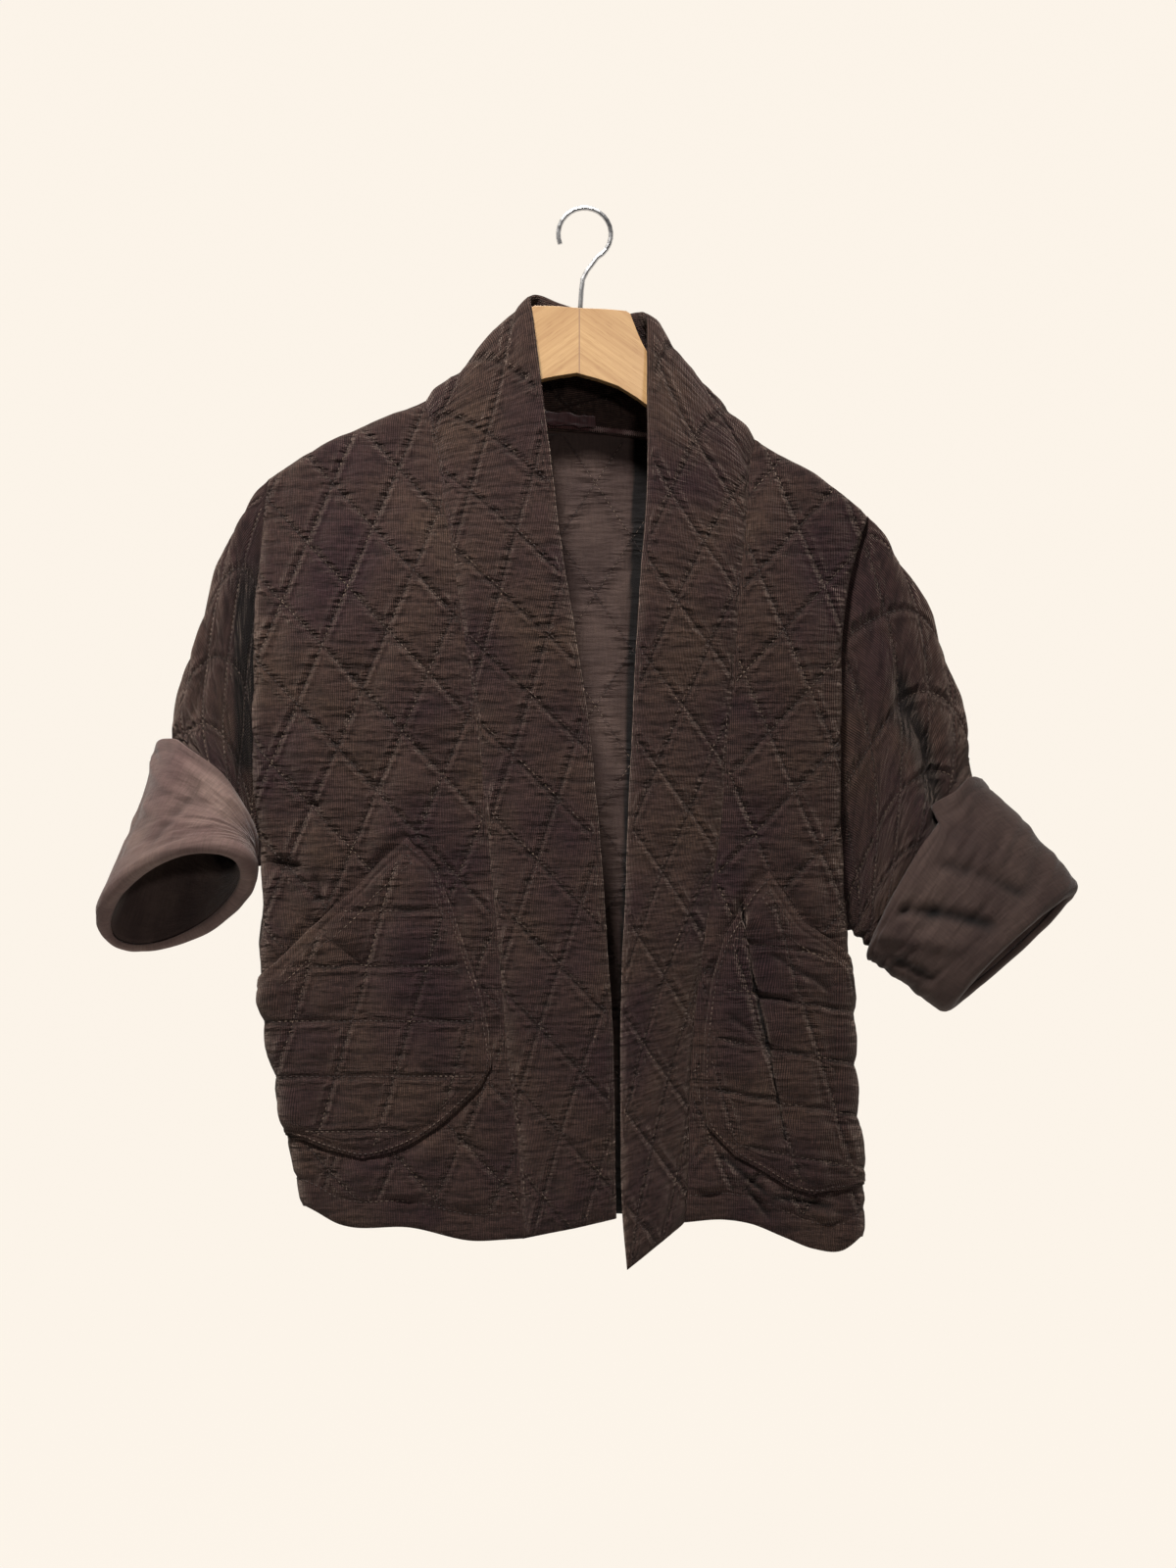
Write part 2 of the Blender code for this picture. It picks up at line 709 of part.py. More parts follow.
def front(side, look, pocket_look):
    """One front with its patch pocket."""
    last = len(BAND) - 1
    low, high = (0, BAND_RIDGE[LEFT]) if side == LEFT else (BAND_RIDGE[RIGHT], last)
    places = seam_places(low, high)
    if side == RIGHT:
        places = places[::-1]
    rim = []
    for c in places:
        x, down = seam_spot(c)
        rim.append(pulled((abs(x), down), band_seam(c, 1)))
    neck = NECK_OUT[side]
    rim += ridge_rim(side, False, neck)
    hem_end = hem_down(side, 240)
    sides = side_rim(side, False, hem_end)
    rim += sides
    for out in evenly(sides[-1].flat[0], rim[0].flat[0], SIDE_STEP)[1:-1]:
        down = hem_down(side, out)
        rim.append(Rim((out, down), on_body(side, out, down, False), body_normal(side, out, down, False)))

    outline = [r.flat for r in rim]
    quilted = [(o, min(d, hem_down(side, o) - HEM_DEPTH)) for o, d in outline]
    pocket = pocket_outline(side)
    hem_line = [
        (out, hem_down(side, out) - HEM_DEPTH)
        for out in evenly(rim[0].flat[0] + 9, sides[-1].flat[0] - 6, SIDE_STEP)
    ]
    extra = [(o, d + HEM_DEPTH / 2) for o, d in hem_line]
    extra += fold_points(side, False, hem_end)
    panel = body_panel(
        rim,
        [Region(quilted, FRONT_LATTICE, [pocket], None), Region(pocket, POCKET_LATTICE[side], [], pocket)],
        [hem_line, ridge_line(side, False, neck)],
        extra,
        lambda p: on_body(side, p[0], p[1], False),
        lambda p: body_normal(side, p[0], p[1], False),
        lambda p: turning(side, p[0], p[1], False),
    )

    def puff(p):
        if p[1] > hem_down(side, p[0]) - HEM_DEPTH:
            return hem_height(hem_down(side, p[0]) - p[1])
        if inside(p, pocket):
            return 0
        clear = step((edge_distance(p, pocket) - POCKET_GAP) / POCKET_FADE)
        fade = step(edge_distance(p, panel.outline) / SEAM_FADE) * clear
        return FRONT_LATTICE.height(p) * fade * side_fade(side, p[0], p[1], False)

    outer = [HALF_WALL + PUFF * puff(p) * (i not in panel.rim_ids) for i, p in enumerate(panel.flat)]
    word = "left" if side == LEFT else "right"
    wall(f"front_{word}", panel.middles, panel.normals, outer, [HALF_WALL] * len(outer), panel.faces, look)

    kept = [f for f in panel.faces if inside(np.mean([panel.flat[i] for i in f], axis=0), pocket)]
    used = sorted({i for f in kept for i in f})
    number = {i: k for k, i in enumerate(used)}
    mouth = [tuple(c) for c in [POCKET[side][0]] + MOUTH[side]]
    middles, reach = [], []
    for i in used:
        p = panel.flat[i]
        to_mouth = min(math.dist(p, m) for m in mouth)
        to_seam = edge_distance(p, pocket)
        near_mouth = (1 - step(to_mouth / MOUTH_REACH)) * step(math.dist(p, mouth[0]) / TIP_REACH)
        lift = POCKET_LIFT + MOUTH_LIFT * near_mouth
        middles.append(panel.middles[i] + unit(panel.normals[i]) * lift)
        reach.append(POCKET_HALF + PUFF * POCKET_LATTICE[side].height(p) * step(to_seam / SEAM_FADE))
    wall(
        f"pocket_{word}", middles, [unit(panel.normals[i]) for i in used], reach,
        [POCKET_HALF] * len(used), [tuple(number[i] for i in f) for f in kept], pocket_look,
    )


def back(look):
    """The back, from side seam to side seam, with the neck cut into its top."""

    def place(p):
        side = LEFT if p[0] < 0 else RIGHT
        return on_body(side, abs(p[0]), p[1], True)

    def normal_at(p):
        side = LEFT if p[0] < 0 else RIGHT
        return body_normal(side, abs(p[0]), p[1], True)

    rim = []
    for c in seam_places(BAND_RIDGE[LEFT], BAND_RIDGE[RIGHT]):
        rim.append(pulled(seam_spot(c), band_seam(c, 1)))
    right_end, left_end = back_hem_down(240), back_hem_down(-240)
    rim += ridge_rim(RIGHT, True, NECK_OUT[RIGHT])
    right = side_rim(RIGHT, True, right_end)
    left = [Rim((-r.flat[0], r.flat[1]), r.point, r.normal) for r in side_rim(LEFT, True, left_end)]
    left_ridge = [Rim((-r.flat[0], r.flat[1]), r.point, r.normal)
                  for r in ridge_rim(LEFT, True, NECK_OUT[LEFT])]
    rim += right
    for x in evenly(right[-1].flat[0], left[-1].flat[0], SIDE_STEP)[1:-1]:
        spot = (x, back_hem_down(x))
        rim.append(Rim(spot, place(spot), normal_at(spot)))
    rim += left[::-1] + left_ridge[::-1]

    quilted = [(r.flat[0], min(r.flat[1], back_hem_down(r.flat[0]) - HEM_DEPTH)) for r in rim]
    hem_line = [
        (x, back_hem_down(x) - HEM_DEPTH)
        for x in evenly(left[-1].flat[0] + 6, right[-1].flat[0] - 6, SIDE_STEP)
    ]
    extra = [(x, d + HEM_DEPTH / 2) for x, d in hem_line]
    extra += fold_points(RIGHT, True, right_end)
    extra += [(-o, d) for o, d in fold_points(LEFT, True, left_end)]
    runs = [hem_line, ridge_line(RIGHT, True, NECK_OUT[RIGHT])]
    runs.append([(-o, d) for o, d in ridge_line(LEFT, True, NECK_OUT[LEFT])])
    panel = body_panel(
        rim,
        [Region(quilted, BACK_LATTICE, [], None)],
        runs,
        extra,
        place,
        normal_at,
        lambda p: turning(LEFT if p[0] < 0 else RIGHT, abs(p[0]), p[1], True),
    )

    def puff(p):
        rise = back_hem_down(p[0]) - p[1]
        if rise < HEM_DEPTH:
            return hem_height(rise)
        side = LEFT if p[0] < 0 else RIGHT
        fade = step(edge_distance(p, panel.outline) / SEAM_FADE) * side_fade(side, abs(p[0]), p[1], True)
        return BACK_LATTICE.height(p) * fade

    outer = [HALF_WALL + PUFF * puff(p) * (i not in panel.rim_ids) for i, p in enumerate(panel.flat)]
    wall("back", panel.middles, panel.normals, outer, [HALF_WALL] * len(outer), panel.faces, look)


def grid_normals(grid, closed):
    """Directions square to a grid of points, which may close round its second way."""
    along = np.gradient(grid, axis=0)
    if closed:
        across = np.roll(grid, -1, axis=1) - np.roll(grid, 1, axis=1)
    else:
        across = np.gradient(grid, axis=1)
    n = np.cross(along, across)
    return n / np.maximum(np.linalg.norm(n, axis=2, keepdims=True), 1e-9)


def diamond_faces(rows, columns, closed):
    """Triangles of a grid whose diagonals follow diamonds four cells wide."""
    faces = []
    for i in range(rows - 1):
        for j in range(columns if closed else columns - 1):
            k = (j + 1) % columns
            a, b, c, d = i * columns + j, i * columns + k, (i + 1) * columns + k, (i + 1) * columns + j
            if (i - j) % 4 == 2 or ((i + j + 1) % 4 != 2 and (i + j) % 2 == 0):
                faces += [(a, b, c), (a, c, d)]
            else:
                faces += [(a, b, d), (b, c, d)]
    return faces


def diamond_height(i, j):
    """The puff at a grid point, with quilting lines every four cells both ways."""
    return (abs(math.sin(math.pi * (i + j - 2) / 4)) * abs(math.sin(math.pi * (i - j - 2) / 4))) ** 0.6


def outward(normals, grid, middle):
    """The normals turned, all together, away from the middle."""
    away = ((grid - middle) * normals).sum()
    return normals if away > 0 else -normals


BAND_COLUMNS = 9
BAND_SHARES = [0, 0.1, 0.23, 0.37, 0.51, 0.65, 0.79, 0.93, 1]


def band_places():
    return evenly(0, len(BAND) - 1, BAND_STEP)


def band_point(c, share):
    """A point of the band's middle surface, from its seam to its folded edge."""
    places = range(len(BAND))
    edge = placed(*(through(places, column(BAND, name), c) for name in ("edge_x", "edge_y", "edge_down")))
    bulge = through(places, column(BAND, "bulge"), c)
    seam = band_seam(c, -1)
    start = seam.point + seam.pull * SEAM_GAP
    return start + (edge - start) * share + seam.normal * bulge * 4 * share * (1 - share)


def neck_band(look):
    """The doubled band, from hem to hem round the neck, quilted on both of its faces."""
    places = band_places()
    grid = np.array([[band_point(c, w) for w in BAND_SHARES] for c in places])
    normals = grid_normals(grid, False)
    seam_normals = np.array([band_seam(c, -1).normal for c in places])
    if (normals[:, 0] * seam_normals).sum() < 0:
        normals = -normals
    normals[:, 0] = seam_normals
    half = [HALF_WALL, 1.9, BAND_HALF, BAND_HALF, BAND_HALF, BAND_HALF, BAND_HALF, 2.0, 0.8]
    outer, inner = [], []
    for i in range(len(places)):
        for j in range(BAND_COLUMNS):
            at_edge = j in (0, BAND_COLUMNS - 1) or i in (0, len(places) - 1)
            puff = 0 if at_edge else BAND_PUFF * diamond_height(i, j)
            outer.append(half[j] + puff)
            inner.append(half[j] + puff * 0.6)
    faces = diamond_faces(len(places), BAND_COLUMNS, False)
    wall("neck_band", grid.reshape(-1, 3), normals.reshape(-1, 3), outer, inner, faces, look)


def ring_at(side, v, angle):
    """A point of a sleeve's ring: nought degrees on top, ninety in front."""
    rings = SLEEVE[side]
    places = range(len(rings))
    value = {name: through(places, column(rings, name), v) for name in Ring._fields}
    top = np.array([value["top_x"], value["top_y"], value["top_down"]])
    under = np.array([value["under_x"], value["under_y"], value["under_down"]])
    reach = np.array([value["reach_x"], value["reach_y"], value["reach_down"]])
    depth = math.sin(angle) if math.sin(angle) > 0 else REAR_SHARE * math.sin(angle)
    spot = (top + under) / 2 + (top - under) / 2 * math.cos(angle) + reach * depth
    return placed(*spot)


BLEND_RINGS = 1.5
Notch = namedtuple("Notch", "angle width depth first last")
NOTCH = {LEFT: Notch(0.9, 0.2, 3, 1, 5), RIGHT: Notch(1.15, 0.16, 11, 0.8, 5.4)}


def on_sleeve(side, v, angle):
    """A point of the sleeve's middle surface, starting on the armhole seam."""
    spot = ring_at(side, v, angle)
    if v < BLEND_RINGS:
        down = armhole_down(side, angle)
        way = -1 if math.sin(angle) > 0 else 1
        seam = placed(side * side_out(side, down), way * lens(side, down), down)
        spot = spot + (seam - ring_at(side, 0, angle)) * (1 - v / BLEND_RINGS) ** 2
    notch = NOTCH[side]
    across = (angle - notch.angle) / notch.width
    along = step((v - notch.first) / 1.2) * step((notch.last - v) / 1.2)
    return spot + np.array([0, notch.depth, 0]) * along * math.exp(-across * across)


def sleeve_angles():
    return [2 * math.pi * j / SLEEVE_COLUMNS for j in range(SLEEVE_COLUMNS)]


def sleeve(side, look):
    """A sleeve from the armhole seam to the rim where its cuff turns up."""
    last = len(SLEEVE[side]) - 1
    places = evenly(0, last, last / SLEEVE_ROWS)
    angles = sleeve_angles()
    grid = np.array([[on_sleeve(side, v, a) for a in angles] for v in places])
    normals = outward(grid_normals(grid, True), grid, grid.mean(axis=1, keepdims=True))
    outer, inner = [], []
    for i, v in enumerate(places):
        for j, angle in enumerate(angles):
            fade = step(v / 1.6) * step((CUFF_START - 0.3 - v) / 0.8) * (0.55 + 0.45 * math.cos(angle))
            outer.append(HALF_WALL + PUFF * diamond_height(i, j) * fade)
            inner.append(HALF_WALL)
    for j, angle in enumerate(angles):
        seam = armhole_seam(side, armhole_down(side, angle), math.sin(angle) <= 0)
        grid[0, j] = seam.point + np.array([side * SEAM_GAP, 0, 0])
        normals[0, j] = seam.normal
    word = "left" if side == LEFT else "right"
    faces = diamond_faces(len(places), SLEEVE_COLUMNS, True)
    wall(f"sleeve_{word}", grid.reshape(-1, 3), normals.reshape(-1, 3), outer, inner, faces, look)


# The cuff's path past the sleeve's end: on along the sleeve and out from it.
Bend = namedtuple("Bend", "on out")
CUFF_BENDS = [Bend(0.7, 0), Bend(3.4, 0.9), Bend(5.2, 4.6), Bend(3.4, 8.4), Bend(0, CUFF_OFFSET)]


def cuff(side, look):
    """A sleeve end turned up, from the fold at the rim back to its free edge."""
    last = len(SLEEVE[side]) - 1
    angles = [2 * math.pi * j / SLEEVE_COLUMNS for j in range(SLEEVE_COLUMNS)]
    rows = evenly(last, CUFF_START, (last - CUFF_START) / CUFF_ROWS)[1:]
    base = np.array([[on_sleeve(side, v, a) for a in angles] for v in [last - 0.2, last] + rows])
    away = outward(grid_normals(base, True), base, base.mean(axis=1, keepdims=True))
    onward = base[1] - base[0]
    onward /= np.linalg.norm(onward, axis=1, keepdims=True)
    grid = [base[1] + onward * b.on + away[1] * b.out for b in CUFF_BENDS]
    grid += [base[i] + away[i] * CUFF_OFFSET for i in range(2, len(base))]
    grid = np.array(grid)
    normals = grid_normals(grid, True)
    if (normals[-2] * away[-2]).sum() < 0:
        normals = -normals
    normals[0] = -away[1]
    outer = []
    for i in range(len(grid)):
        fade = step((i - 3) / 2) * step((len(grid) - 1 - i) / 2)
        half = CUFF_HALF if i else HALF_WALL
        outer += [half + CUFF_PUFF * diamond_height(i, j) * fade for j in range(SLEEVE_COLUMNS)]
    word = "left" if side == LEFT else "right"
    faces = diamond_faces(len(grid), SLEEVE_COLUMNS, True)
    wall(f"cuff_{word}", grid.reshape(-1, 3), normals.reshape(-1, 3), outer,
         [HALF_WALL] * len(outer), faces, look)


TAPE_FROM, TAPE_TO = 14.45, 15.15
TAPE_SHARES = [0.05, 0.1, 0.15]
TAPE_HALF = 0.5


def neck_tape(look):
    """A short satin loop against the band's inner face, just above the neck seam."""
    rows, middles, normals = evenly(TAPE_FROM, TAPE_TO, 0.12), [], []
    for k, c in enumerate(rows):
        ripple = 0.5 * math.sin(k * 2.1)
        for share in TAPE_SHARES:
            normal = band_seam(c, -1).normal
            reach = BAND_HALF + BAND_PUFF * 0.6 + TAPE_HALF + 0.6 + 0.3 * ripple
            middles.append(band_point(c, share) - normal * reach + np.array([0, 0, ripple]))
            normals.append(normal)
    faces = diamond_faces(len(rows), len(TAPE_SHARES), False)
    reach = [TAPE_HALF] * len(middles)
    wall("neck_tape", middles, normals, reach, reach, faces, look)


# The hanger, in its own upright frame about the point where the hook hangs.
HANGER_TILT = math.radians(3.3)
HANGER_HALF = 6
HANGER_EDGE = 4
Point = namedtuple("Point", "out down")
HANGER_TOP = [Point(0, 75), Point(33, 75), Point(39, 80), Point(46, 95), Point(60, 117), Point(85, 144),
              Point(110, 163), Point(135, 174), Point(159, 184), Point(183, 197), Point(200, 208),
              Point(209, 216), Point(213, 225)]
HANGER_UNDER = [Point(207, 233), Point(190, 227), Point(160, 212), Point(125, 192), Point(90, 170),
                Point(60, 149), Point(32, 132), Point(0, 124)]
WIRE = 1.9
HOOK_CENTRE = 18
HOOK_RADIUS = HOOK_CENTRE + WIRE
STEM_FOOT = 88
STEM_CLEARANCE = 0.3


def flat_curve(name, points, half):
    """A flat outline as a filled curve with some thickness."""
    curve = bpy.data.curves.new(name, "CURVE")
    curve.dimensions = "2D"
    curve.fill_mode = "BOTH"
    curve.extrude = half * MM
    curve.render_resolution_u = 0
    spline = curve.splines.new("POLY")
    spline.points.add(len(points) - 1)
    for spot, (x, down) in zip(spline.points, points):
        spot.co = (x * MM, -down * MM, 0, 1)
    spline.use_cyclic_u = True
    return curve


def rounded_outline():
    """The right half's outline smoothed, with the left half mirrored."""
    def smooth(points, count):
        places = range(len(points))
        return [
            (through(places, column(points, "out"), t), through(places, column(points, "down"), t))
            for t in evenly(0, len(points) - 1, (len(points) - 1) / count)
        ]

    half = smooth(HANGER_TOP, 22) + smooth(HANGER_UNDER, 14)
    return half + [(-x, down) for x, down in reversed(half[1:-1])]


def hanger(look):
    """The wooden hanger, bored for the hook's stem."""
    curve = flat_curve("hanger_outline", rounded_outline(), HANGER_HALF)
    rough = bpy.data.objects.new("hanger_outline", curve)
    CUTTERS.objects.link(rough)
    mesh = bpy.data.meshes.new_from_object(rough.evaluated_get(bpy.context.evaluated_depsgraph_get()))
    bpy.data.objects.remove(rough)
    bm = bmesh.new()
    bm.from_mesh(mesh)
    bmesh.ops.remove_doubles(bm, verts=bm.verts, dist=0.01 * MM)
    bm.to_mesh(mesh)
    bm.free()
    mesh.name = "hanger"
    made = add_object("hanger", mesh, look)
    made.rotation_euler = (math.pi / 2, HANGER_TILT, 0)
    bevel = made.modifiers.new("edges", "BEVEL")
    bevel.width = HANGER_EDGE * MM
    bevel.segments = 2
    bevel.limit_method = "ANGLE"
    bevel.angle_limit = math.radians(60)
    bpy.ops.mesh.primitive_cylinder_add(
        vertices=16, radius=(WIRE + STEM_CLEARANCE) * MM, depth=2 * (STEM_FOOT + 1 - HANGER_TOP[0].down) * MM
    )
    bore = bpy.context.object
    bore.name = "stem_bore"
    bore.rotation_euler = (0, HANGER_TILT, 0)
    down = HANGER_TOP[0].down * MM
    bore.location = (-math.sin(HANGER_TILT) * down, 0, -math.cos(HANGER_TILT) * down)
    for holder in list(bore.users_collection):
        holder.objects.unlink(bore)
    CUTTERS.objects.link(bore)
    bore.hide_render = True
    bore.display_type = "WIRE"
    cut = made.modifiers.new("stem", "BOOLEAN")
    cut.operation = "DIFFERENCE"
    cut.object = bore


def hook(look):
    """The wire hook, whose inner top is the point where the part hangs."""
    path = [(0, STEM_FOOT), (0, 60), (0.6, 52), (3.4, 45.5)]
    for degrees in evenly(-58, 205, 13):
        angle = math.radians(degrees)
        path.append((HOOK_RADIUS * math.cos(angle), HOOK_CENTRE - HOOK_RADIUS * math.sin(angle)))
    curve = bpy.data.curves.new("hook", "CURVE")
    curve.dimensions = "3D"
    curve.bevel_depth = WIRE * MM
    curve.bevel_resolution = 2
    curve.use_fill_caps = True
    curve.render_resolution_u = 0
    spline = curve.splines.new("POLY")
    spline.points.add(len(path) - 1)
    for spot, (x, down) in zip(spline.points, path):
        spot.co = (x * MM, 0, -down * MM, 1)
    made = bpy.data.objects.new("hook", curve)
    PARTS.objects.link(made)
    curve.materials.append(look)
    made.rotation_euler = (0, HANGER_TILT, 0)


def collection(name):
    made = bpy.data.collections.new(name)
    bpy.context.scene.collection.children.link(made)
    return made


for old in list(bpy.data.objects):
    bpy.data.objects.remove(old)
PARTS = collection("kimono_coat")
CUTTERS = collection("cutters")

CORDUROY = material("corduroy", (0.046, 0.030, 0.025), 0.9)
LINING = material("lining_cotton", (0.13, 0.092, 0.078), 0.9)
SATIN = material("satin", (0.09, 0.05, 0.06), 0.35)
WOOD = material("wood", (0.79, 0.55, 0.26), 0.5)
STEEL = material("steel", (0.6, 0.6, 0.6), 0.3, 1.0)

hanger(WOOD)
hook(STEEL)
back(CORDUROY)
front(LEFT, CORDUROY, CORDUROY)
front(RIGHT, CORDUROY, CORDUROY)
neck_band(CORDUROY)
sleeve(LEFT, CORDUROY)
sleeve(RIGHT, CORDUROY)
cuff(LEFT, LINING)
cuff(RIGHT, LINING)
neck_tape(SATIN)
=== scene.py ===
"""Looks of a quilted corduroy kimono jacket with turned-up cuffs, on a wooden hanger.

The garment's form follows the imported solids: the same sections and rings, in millimetres, as x to
the viewer's right, y away from the viewer and "down" below the point where the hook hangs.
"""

import math
from collections import namedtuple

import bpy
import numpy as np
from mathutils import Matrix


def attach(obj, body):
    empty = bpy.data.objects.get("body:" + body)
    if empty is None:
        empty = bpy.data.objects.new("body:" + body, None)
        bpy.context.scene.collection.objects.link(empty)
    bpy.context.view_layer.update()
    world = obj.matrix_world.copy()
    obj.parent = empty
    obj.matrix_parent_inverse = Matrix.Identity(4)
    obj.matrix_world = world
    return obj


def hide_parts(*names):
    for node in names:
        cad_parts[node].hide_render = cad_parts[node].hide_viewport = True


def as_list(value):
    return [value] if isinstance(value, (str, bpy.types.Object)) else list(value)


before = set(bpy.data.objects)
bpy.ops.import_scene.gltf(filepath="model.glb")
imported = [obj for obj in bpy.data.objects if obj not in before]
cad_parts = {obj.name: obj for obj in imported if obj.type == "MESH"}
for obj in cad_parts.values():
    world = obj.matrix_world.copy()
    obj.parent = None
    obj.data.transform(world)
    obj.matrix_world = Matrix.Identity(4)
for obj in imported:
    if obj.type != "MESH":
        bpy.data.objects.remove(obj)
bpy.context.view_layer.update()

MM = 0.001

# Where the photographer's eye is.
EYE_DISTANCE = 1500
EYE_X = 1.5
EYE_DOWN = 433

# Cloth, seams and folds.
HALF_WALL = 1.2
PUFF = 4.8
BAND_HALF = 2.2
BAND_PUFF = 3.6
SEAM_GAP = 0.3
SEAM_FADE = 15
HEM_DEPTH = 20
RIDGE_ROUND = 10
DRAPE_LENGTH = 170
FOLD_RADIUS = 12
BACK_FOLD_RADIUS = 14
ARMHOLE_HALF = 13
POCKET_LIFT = 3.0
POCKET_HALF = 1.0
MOUTH_LIFT = 2.0

# The body's hems are read no further out than this.
HEM_END = 240
# How many points each cloth's grid has: across and along, or along and round a tube.
FRONT_GRID = (104, 270)
BACK_GRID = (190, 250)
POCKET_GRID = (70, 110)
BAND_GRID = (40, 560)
BAND_SEWING_GRID = (60, 700)
SLEEVE_GRID = (100, 160)
CUFF_COLUMNS = 170
# Seeds of the small wrinkles, so that no two faces have the same ones.
FRONT_SEED, FRONT_HEM_SEED, FRONT_INNER_SEED = 11, 15, 31
BACK_SEED, BACK_HEM_SEED, BACK_INNER_SEED = 51, 57, 61
POCKET_SEED, TAPE_SEED = 71, 171
BAND_SEED, BAND_RIPPLE_SEED, BAND_INNER_SEED = 81, 85, 91
SLEEVE_SEED, CUFF_SEED = 101, 131

LEFT, RIGHT = -1, 1

# The garment's outlines and sections, the same as in the solids.
def rows_of(kind, *rows):
    return [kind(*row) for row in rows]


Ridge = namedtuple("Ridge", "out down")
RIDGE = {
    LEFT: rows_of(Ridge, (0, 64), (44, 66), (69, 103), (95, 127), (119, 144),
           (146, 155), (169, 164), (191, 174), (213, 187), (239, 203)),
    RIGHT: rows_of(Ridge, (0, 64), (44, 79), (64, 107), (87, 131), (109, 157),
            (125, 172), (149, 187), (172, 200), (190, 213), (212, 231)),
}
Side = namedtuple("Side", "down out")
SIDE = {
    LEFT: rows_of(Side, (203, 239), (256, 245), (322, 249), (433, 248), (470, 245),
           (507, 242), (581, 243), (618, 236), (655, 229), (700, 223),
           (729, 217), (765, 211)),
    RIGHT: rows_of(Side, (231, 212), (275, 198), (330, 192), (433, 191), (470, 191),
            (507, 193), (537, 195), (600, 197), (655, 198), (700, 201),
            (729, 206), (785, 209)),
}
ARMHOLE = {LEFT: (203, 492), RIGHT: (231, 540)}
Depth = namedtuple("Depth", "down seam middle side")
FRONT_DEPTH = {
    LEFT: rows_of(Depth, (150, 34, 34, 24), (260, 42, 42, 30), (380, 45, 46, 34),
           (520, 47, 47, 34), (640, 49, 48, 34), (780, 52, 50, 34)),
    RIGHT: rows_of(Depth, (150, 34, 34, 24), (260, 44, 42, 30), (380, 48, 46, 34),
            (520, 52, 47, 34), (640, 56, 48, 34), (780, 64, 50, 34)),
}
BACK_CENTRE, BACK_SIDE = 44, 32
Hem = namedtuple("Hem", "out down")
HEM = {
    LEFT: rows_of(Hem, (46, 776), (61, 777), (84, 778), (132, 768), (187, 765),
           (212, 752), (240, 750)),
    RIGHT: rows_of(Hem, (74, 764), (105, 762), (124, 765), (149, 775), (172, 784),
            (194, 785), (209, 775), (240, 772)),
}
BACK_HEM = rows_of(Hem, (-240, 750), (-211, 752), (-100, 757), (0, 757), (100, 760),
            (209, 775), (240, 772))
Band = namedtuple("Band", "seam_x seam_down edge_x edge_y edge_down bulge")
BAND = rows_of(Band,
    (-46, 776, 23, -54, 761, 2), (-50, 714, 22, -54, 707, 2), (-56, 665, 21.5, -54, 660, 2),
    (-61, 613, 20, -54, 612, 2), (-66, 552, 16, -53, 552, 2), (-73, 478, 11, -53, 478, 2),
    (-80, 404, 4, -51, 404, 2), (-90, 330, -6, -48, 330, 2), (-101, 256, -18, -44, 256, 2),
    (-110, 200, -26, -37, 190, 1), (-117, 162, -34, -28, 128, 0), (-118.5, 151, -40, -14, 80, -2),
    (-119, 144, -42, 0, 66, -4), (-103, 150, -35, 16, 64, -2), (-62, 163, -20, 21, 70, 0),
    (-2, 168, 0, 22, 76, 0), (62, 174, 22, 21, 80, 0), (106, 171, 38, 16, 77, -2),
    (125, 172, 45, 0, 79, -3), (124.5, 182, 46, -14, 97, -2), (123, 196, 46, -28, 140, 0),
    (121, 228, 46, -40, 206, 1), (115, 296, 40, -48, 290, 2), (111, 344, 37, -51, 344, 2),
    (105, 418, 33.5, -54, 418, 2), (101, 470, 31, -56, 472, 2), (95, 507, 30, -58, 512, 2),
    (89, 552, 27.5, -60, 560, 2), (83, 596, 26, -62, 610, 2), (78, 655, 26, -66, 676, 2),
    (77, 722, 27, -74, 750, 2), (74, 764, 31, -84, 800, 2),
)
BAND_RIDGE = {LEFT: 12, RIGHT: 18}
NECK_OUT = {LEFT: 119, RIGHT: 125}
BAND_LAST = len(BAND) - 1

Fold = namedtuple("Fold", "x0 down0 x1 down1 height width")
FOLDS = {
    LEFT: rows_of(Fold, (-136, 240, -126, 600, 4, 22), (-205, 300, -190, 560, 3, 20),
           (-168, 330, -160, 620, -3, 18), (-228, 520, -160, 575, -3, 9)),
    RIGHT: rows_of(Fold, (118, 529, 134, 612, -9, 9), (134, 612, 150, 701, -7, 9),
            (118, 300, 126, 500, -4, 18), (172, 280, 170, 560, 4, 20),
            (160, 560, 176, 740, 4, 14)),
}
# Smaller creases of the fronts, uneven, as soft troughs and ridges.
CREASES = {
    LEFT: rows_of(Fold, (-198, 495, -200, 528, -1.6, 4), (-228, 452, -198, 449, -1.4, 4),
           (-239, 494, -212, 496, -1.6, 5), (-232, 505, -205, 512, 1.2, 6),
           (-130, 640, -98, 668, -1.2, 5), (-222, 612, -180, 606, -1.1, 5),
           (-150, 300, -138, 352, 1.0, 8), (-92, 480, -84, 560, 1.2, 7),
           (-215, 690, -196, 742, -1.4, 6), (-120, 700, -112, 756, 1.3, 8)),
    RIGHT: rows_of(Fold, (150, 470, 188, 492, -1.6, 5), (160, 505, 192, 508, -1.5, 4),
            (100, 380, 112, 432, 1.1, 7), (98, 640, 126, 700, -1.6, 6),
            (168, 600, 178, 690, -2.0, 6), (120, 720, 150, 762, 1.5, 8),
            (178, 700, 192, 770, -2.2, 6), (140, 330, 150, 420, -1.2, 8),
            (92, 560, 100, 640, -1.5, 6)),
}
